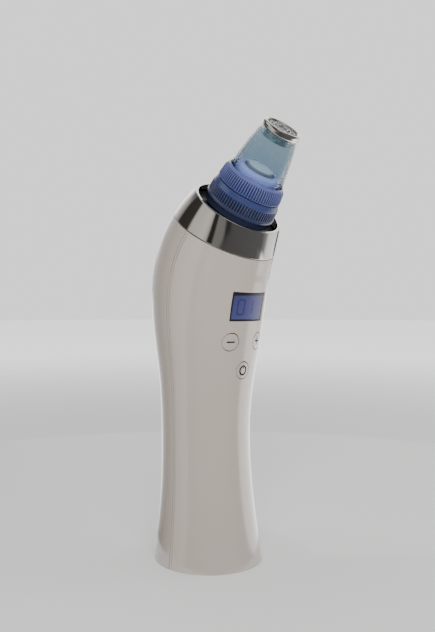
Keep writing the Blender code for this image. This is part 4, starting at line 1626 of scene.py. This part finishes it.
@dataclass
class Probe:
    """The pull-off probe: the skirt, and the cap with its clear cone and its abrasive tip."""

    ribs: int = RIBS
    rib_depth: float = 0.45
    bore_reach: float = 13.55
    steps_per_rib: int = 8
    studs: tuple[tuple[float, int], ...] = ((3.2, 8), (4.95, 12))
    stud: float = 0.5
    stud_rise: float = 0.8
    face_height: float = 39.85

    def build(self) -> None:
        """Makes the skirt, the cap, the cone and the tip."""
        skirt = [
            (12.4, -1.5), (15.7, -1.5), (15.85, -1.35), (15.9, 0.8), (16.0, 1.0), (16.25, 1.15), (16.38, 1.4),
            (16.4, 2.1), (16.3, 2.4), (16.15, 2.6), (16.15, 2.9), *self.flank((16.15, 3.1), (15.9, 6.9), 7),
            (15.85, 7.2), (15.8, 7.4), (15.72, 7.6), (15.3, 8.9), (15.12, 9.4), (15.0, 9.62), (14.8, 9.7),
            (13.1, 9.7), (13.1, 13.6), (12.4, 13.6),
        ]
        shape = self.ribbed(skirt, 2.75, 7.45)
        Piece("probe_skirt", BLUE_LOWER, "probe_base", ("skirt_ring",)).place(shape, Head.matrix())
        cap = [
            (13.5, 10.1), (14.7, 10.1), (14.95, 10.2), (15.05, 10.4),
            *self.flank((15.05, 10.7), (14.5, 14.3), 7), (14.45, 14.55), (14.4, 14.75), (14.32, 14.95),
            (14.15, 15.2), (13.2, 16.7), (13.05, 16.95), (12.9, 17.15), (12.7, 17.2), (12.7, 15.2),
            (13.5, 15.2),
        ]
        shape = self.ribbed(cap, 10.3, 16.2)
        Piece("probe_cap_ring", BLUE_UPPER, "probe_cap", ("cap_ring",)).place(shape, Head.matrix())
        cone = [
            (7.3, 37.4), (8.45, 37.4), (8.65, 37.25), (9.9, 32.5), (11.0, 27.5), (11.85, 22.5), (12.4, 17.2),
            (12.4, 14.9), (13.2, 14.9), (13.2, 13.9), (11.5, 13.9), (11.7, 17.2), (11.2, 22.5), (10.35, 27.5),
            (9.25, 32.5), (8.2, 36.3), (7.1, 36.5), (7.1, 37.3),
        ]
        shape = Shape.turned(cone)
        made = Piece("probe_clear_cone", CLEAR, "probe_cap", ("probe_cone",)).place(shape, Head.matrix())
        made.visible_shadow = False
        self.tip()

    @staticmethod
    def flank(low: Pair, high: Pair, count: int) -> list[Pair]:
        """Points along a ribbed flank.

        Args:
            low: The point at its foot.
            high: The point at its head.
            count: How many points.

        Returns:
            The points, ends included.
        """
        return [
            (low[0] + (high[0] - low[0]) * i / (count - 1), low[1] + (high[1] - low[1]) * i / (count - 1))
            for i in range(count)
        ]

    def ribbed(self, profile: Sequence[Pair], low: float, high: float) -> bmesh.types.BMesh:
        """A turned ring whose outside is drawn in between grip ribs.

        Args:
            profile: The ring's closed profile.
            low: Where the ribs start.
            high: Where they end.

        Returns:
            The ribbed ring.
        """
        shape = Shape.turned(profile, steps=self.ribs * self.steps_per_rib)
        for vert in shape.verts:
            reach = math.hypot(vert.co.x, vert.co.y)
            if reach < self.bore_reach or not low < vert.co.z < high:
                continue
            fade = min(1.0, (vert.co.z - low) / 0.3, (high - vert.co.z) / 0.6)
            wave = 0.5 - 0.5 * math.cos(self.ribs * math.atan2(vert.co.y, vert.co.x))
            scale = 1.0 - self.rib_depth * fade * wave**1.3 / reach
            vert.co.x *= scale
            vert.co.y *= scale
        return shape

    def tip(self) -> None:
        """The metal disc with its grit face, and its threaded neck."""
        disc = [
            (2.3, 39.75), (2.5, 39.88), (5.9, 39.9), (6.15, 39.82), (6.3, 39.55), (6.75, 39.42),
            (7.0, 39.55), (7.15, 39.85), (7.45, 40.15), (7.9, 40.33), (8.35, 40.33), (8.75, 40.1),
            (8.95, 39.7), (9.0, 39.2), (8.92, 38.85), (8.6, 38.72), (8.6, 38.52), (8.88, 38.42),
            (8.88, 38.1), (8.65, 37.72), (6.7, 37.7), (6.7, 34.0), (5.4, 34.0), (5.4, 38.1), (2.3, 38.1),
        ]
        pieces = [Shape.turned(disc), self.thread(6.6, 34.2, 37.3, 0.75), *self.grit()]
        piece = Piece("abrasive_disc", GRIT, "probe_cap", ("abrasive_tip",))
        piece.place(Shape.merged(pieces), Head.matrix())

    def grit(self) -> Iterable[bmesh.types.BMesh]:
        """Coarse studs set in rings on the disc's face.

        Returns:
            One closed stud after another.
        """
        for reach, count in self.studs:
            for index in range(count):
                turn = 2 * math.pi * (index + 0.5 * (reach > 4)) / count
                size = self.stud * (0.92 + 0.12 * math.sin(index * 2.3 + reach))
                spot = Vector((reach * math.cos(turn), reach * math.sin(turn), self.face_height))
                shape = bmesh.new()
                bmesh.ops.create_icosphere(shape, subdivisions=2, radius=size)
                squash = Matrix.Diagonal((1, 1, self.stud_rise, 1))
                matrix = Matrix.Translation(spot) @ Matrix.Rotation(index * 1.7, 4, "Z") @ squash
                bmesh.ops.transform(shape, matrix=matrix, verts=shape.verts)
                yield shape

    @staticmethod
    def thread(radius: float, low: float, high: float, pitch: float) -> bmesh.types.BMesh:
        """A screw thread's ridge, wound by a spin that climbs.

        Args:
            radius: Where the ridge stands.
            low: Its start.
            high: Its end.
            pitch: The climb per turn.

        Returns:
            The closed ridge.
        """
        turns = (high - low) / pitch
        steps = int(turns * 48)
        shape = bmesh.new()
        root, crest = radius - 0.1, radius + 0.38
        corners = [(root, low - 0.25), (crest, low - 0.05), (crest, low + 0.05), (root, low + 0.25)]
        verts = [shape.verts.new((r, 0.0, h)) for r, h in corners]
        face = shape.faces.new(verts)
        bmesh.ops.spin(
            shape, geom=[face, *face.edges, *verts], cent=(0, 0, 0), axis=(0, 0, 1),
            angle=2 * math.pi * turns, steps=steps, dvec=(0, 0, (high - low) / steps), use_merge=False,
            use_duplicate=False,
        )
        return Shape.sealed(shape)


@dataclass
class Internals:
    """The frame's own pieces that stay: they are dressed by their slot."""

    dressed: list[str] = field(default_factory=list)

    def build(self) -> None:
        """Gives each shown node the finish of its slot."""
        slots = {entry["node"]: entry["material_slot"] for entry in frame["record"]["subparts"]}
        for name, node in frame["nodes"].items():
            if node.hide_render:
                continue
            material = CARRIED[slots[name]].material()
            if node.material_slots:
                for slot in node.material_slots:
                    slot.material = material
            else:
                node.data.materials.append(material)
            self.dressed.append(name)
        LOG.info("carried over: %s", ", ".join(self.dressed))


# ------------------------------------------------------------------------------------------- studio


Stops = tuple[tuple[float, Colour], ...]


@dataclass(frozen=True)
class Band:
    """One level of the reflection tent: a colour for each direction, from a height upwards."""

    height: float
    stops: Stops


def grey(level: float, warmth: float = 0.0) -> Colour:
    """A neutral light, or a warm one."""
    return (level * (1 + warmth), level, level * (1 - warmth))


# Runs of stops that more than one band takes: behind the object at two heights, and in front of it.
COOL_BACK: Stops = ((-180, grey(0.5)), (-168, grey(0.25)), (-160, grey(0.03, 0.15)), (-129, grey(0.03, 0.15)))
WARM_BACK: Stops = (
    (-180, grey(0.5, 0.03)), (-169, grey(0.28, 0.05)), (-161, grey(0.025, 0.15)), (-129, grey(0.03, 0.15)),
)
FRONT: Stops = (
    (-70, grey(0.19, 0.06)), (-54, grey(0.18, 0.05)), (-48, grey(0.025)), (-40, grey(0.03)),
    (-33, grey(0.08)), (40, grey(0.1)), (51, grey(0.27)),
)


@dataclass
class Studio:
    """Floor, soft lights, reflection tent and camera."""

    azimuth_deg: float = -46.1
    elevation_deg: float = 2.88
    target: Vector = field(default_factory=lambda: Vector((0.0, 0.0, 0.104)))
    distance: float = 0.35625
    lens: float = 43.56
    sensor_width: float = 36.0
    shift: Pair = (0.0147, 0.0325)
    clip_start: float = 0.01
    floor_size: float = 30.0
    floor_fade: Pair = (250.0, 1400.0)
    floor_glow: Pair = (0.12, 1.2)
    backdrop_radius: float = 4.0
    backdrop_glow: float = 1.25
    sky_colour: Colour = (1.0, 0.995, 0.985)
    sky_strength: float = 0.3
    reach: float = 0.34
    tent_height: float = 0.75
    tent_floor: float = 0.0006
    tent_hole: float = 0.05
    lamps: tuple[tuple[str, Colour, float, float], ...] = (
        ("key", (-0.75, -0.85, 0.6), 0.8, 14.0),
        ("fill", (0.9, -0.5, 0.4), 0.8, 3.0),
        ("top", (0.0, 0.2, 1.2), 0.9, 4.0),
    )
    bands: tuple[Band, ...] = (
        Band(0.0, (
            *COOL_BACK, (-123, grey(0.5, 0.05)), (-95, grey(0.6, 0.05)), (-85, grey(0.05, 0.08)),
            (-33, grey(0.08)), (30, grey(0.1)), (42, grey(0.2)), (49, grey(1.7, 0.02)),
            (114, grey(2.6, 0.02)), (150, grey(2.8, 0.02)), (168, grey(1.2, 0.02)), (180, grey(0.5)),
        )),
        Band(0.05, (
            *COOL_BACK, (-123, grey(0.55, 0.05)), (-92, grey(0.64, 0.05)), (-85, grey(0.45, 0.08)),
            (-81, grey(0.015, 0.08)), (-74, grey(0.02, 0.08)), *FRONT, (60, grey(1.0, 0.02)),
            (100, grey(1.4, 0.02)), (114, grey(2.6, 0.02)), (150, grey(2.8, 0.02)),
            (168, grey(1.2, 0.02)), (180, grey(0.5)),
        )),
        Band(0.125, (
            *WARM_BACK, (-123, grey(0.55, 0.06)), (-92, grey(0.64, 0.06)), (-85, grey(0.45, 0.08)),
            (-81, grey(0.015, 0.1)), (-74, grey(0.02, 0.1)), *FRONT, (60, grey(0.9, 0.02)),
            (93, grey(1.2, 0.02)), (98, grey(0.09)), (122, grey(0.06)), (134, grey(0.4)),
            (150, grey(0.7)), (172, grey(0.75)), (180, grey(0.5, 0.03)),
        )),
        Band(0.18, (
            *WARM_BACK, (-123, grey(0.55, 0.06)), (-92, grey(0.6, 0.06)), (-80, grey(0.03, 0.1)),
            (-33, grey(0.08)), (40, grey(0.1)), (60, grey(0.9, 0.02)), (98, grey(1.3, 0.02)),
            (114, grey(2.4, 0.02)), (150, grey(2.2, 0.02)), (172, grey(0.75)), (180, grey(0.5, 0.03)),
        )),
        Band(0.34, (
            (-180, grey(0.2)), (-150, grey(0.05)), (-120, grey(0.9)), (-100, grey(0.8)), (-85, grey(0.06)),
            (-40, grey(0.05)), (-20, grey(0.6)), (10, grey(0.7)), (30, grey(0.1)), (70, grey(0.04)),
            (84, grey(1.3)), (96, grey(1.6)), (120, grey(1.7)), (150, grey(1.3)), (180, grey(0.2)),
        )),
    )
    blend: float = 0.012

    def build(self) -> None:
        """Sets up everything that isn't the object."""
        self.floor()
        self.backdrop()
        self.lights()
        self.tent()
        self.camera()

    def staged(self, name: str, shape: bmesh.types.BMesh, graph: Graph) -> bpy.types.Object:
        """Adds a piece of the studio. The shape is freed.

        Args:
            name: The piece's name.
            shape: Its shape in metres.
            graph: Its material.

        Returns:
            The object, which the camera, lights or reflections use.
        """
        mesh = bpy.data.meshes.new(name)
        shape.to_mesh(mesh)
        shape.free()
        mesh.materials.append(graph.material)
        made = bpy.data.objects.new(name, mesh)
        bpy.context.scene.collection.objects.link(made)
        return made

    def floor(self) -> None:
        """A pale floor with a painted glow, faint near the object and strong far off, so that it fades into
        the backdrop.
        """
        shape = bmesh.new()
        bmesh.ops.create_grid(shape, x_segments=1, y_segments=1, size=self.floor_size)
        graph = Graph("floor_paper")
        x, y, _ = graph.parts(graph.place())
        near, far = self.floor_glow
        glow = graph.blend(graph.radius(x, y).ramp(*self.floor_fade), grey(near), grey(far))
        graph.set(base_color=grey(0.88), roughness=0.9, emission_color=glow, emission_strength=1.0)
        self.staged("floor", shape, graph)

    def backdrop(self) -> None:
        """A plain pale wall all round that lights nothing."""
        shape = bmesh.new()
        radius = self.backdrop_radius
        bmesh.ops.create_cone(
            shape, cap_ends=False, segments=96, radius1=radius, radius2=radius, depth=2 * radius,
        )
        graph = Graph("backdrop_paper")
        glow = grey(self.backdrop_glow)
        graph.set(base_color=(0, 0, 0), roughness=1.0, emission_color=glow, emission_strength=1.0)
        made = self.staged("backdrop", shape, graph)
        made.visible_diffuse = made.visible_glossy = made.visible_shadow = False

    def lights(self) -> None:
        """Large soft lights and a pale surround."""
        world = bpy.data.worlds.new("surround")
        world.use_nodes = True
        sky = world.node_tree.nodes["Background"]
        sky.inputs["Color"].default_value = (*self.sky_colour, 1.0)
        sky.inputs["Strength"].default_value = self.sky_strength
        bpy.context.scene.world = world
        for name, place, size, power in self.lamps:
            data = bpy.data.lights.new(name, "AREA")
            data.shape, data.size, data.energy = "SQUARE", size, power
            lamp = bpy.data.objects.new(name, data)
            lamp.location = place
            lamp.rotation_euler = (Vector(place) - self.target).to_track_quat("Z", "Y").to_euler()
            lamp.visible_glossy = False
            bpy.context.scene.collection.objects.link(lamp)

    def tent(self) -> None:
        """A tall ring round the object that only reflections see, with soft bright and dark panels."""
        shape = bmesh.new()
        floor = self.tent_floor
        outline = [(self.tent_hole, floor), (self.reach, floor), (self.reach, self.tent_height)]
        points = [shape.verts.new((0.0, -reach, height)) for reach, height in outline]
        edges = [shape.edges.new(pair) for pair in zip(points, points[1:])]
        bmesh.ops.spin(
            shape, geom=points + edges, cent=(0, 0, 0), axis=(0, 0, 1), angle=2 * math.pi, steps=96,
            use_merge=True, use_duplicate=False,
        )
        graph = Graph("tent")
        x, y, z = graph.parts(graph.place())
        around = x.angle_to(y * -1.0) / (2 * math.pi) + 0.5
        light = None
        for band in self.bands:
            stops = [(angle / 360 + 0.5, colour) for angle, colour in band.stops]
            level = graph.node("ShaderNodeValToRGB", {"stops": stops}, {0: around})
            if light is None:
                light = level
                continue
            above = z.ramp((band.height - self.blend) / MM, (band.height + self.blend) / MM)
            light = graph.blend(above, light, level)
        graph.set(base_color=(0, 0, 0), roughness=1.0, emission_color=light, emission_strength=1.0)
        made = self.staged("reflection_tent", shape, graph)
        made.visible_camera = made.visible_diffuse = made.visible_shadow = False
        made.visible_transmission = made.visible_volume_scatter = False

    def camera(self) -> None:
        """The camera at its viewing angle."""
        turn, rise = math.radians(self.azimuth_deg), math.radians(self.elevation_deg)
        away = Vector((math.sin(turn) * math.cos(rise), -math.cos(turn) * math.cos(rise), math.sin(rise)))
        data = bpy.data.cameras.new("camera")
        data.lens, data.sensor_width = self.lens, self.sensor_width
        data.shift_x, data.shift_y = self.shift
        data.clip_start = self.clip_start
        made = bpy.data.objects.new("camera", data)
        made.location = self.target + away * self.distance
        made.rotation_euler = away.to_track_quat("Z", "Y").to_euler()
        bpy.context.scene.collection.objects.link(made)
        bpy.context.scene.camera = made


def main() -> None:
    """Builds the sub-assemblies in order, then the studio."""
    logging.basicConfig(level=logging.INFO, format="%(message)s")
    form = HousingForm()
    Housing(form).build()
    Base(form).build()
    Collar(form).build()
    Display(form).build()
    for sign, (x, z) in zip(Sign, Housing.buttons):
        Button(form, sign, x, z).build()
    Nozzle(form).build()
    Probe().build()
    Internals().build()
    Studio().build()


if __name__ == "__main__":
    main()
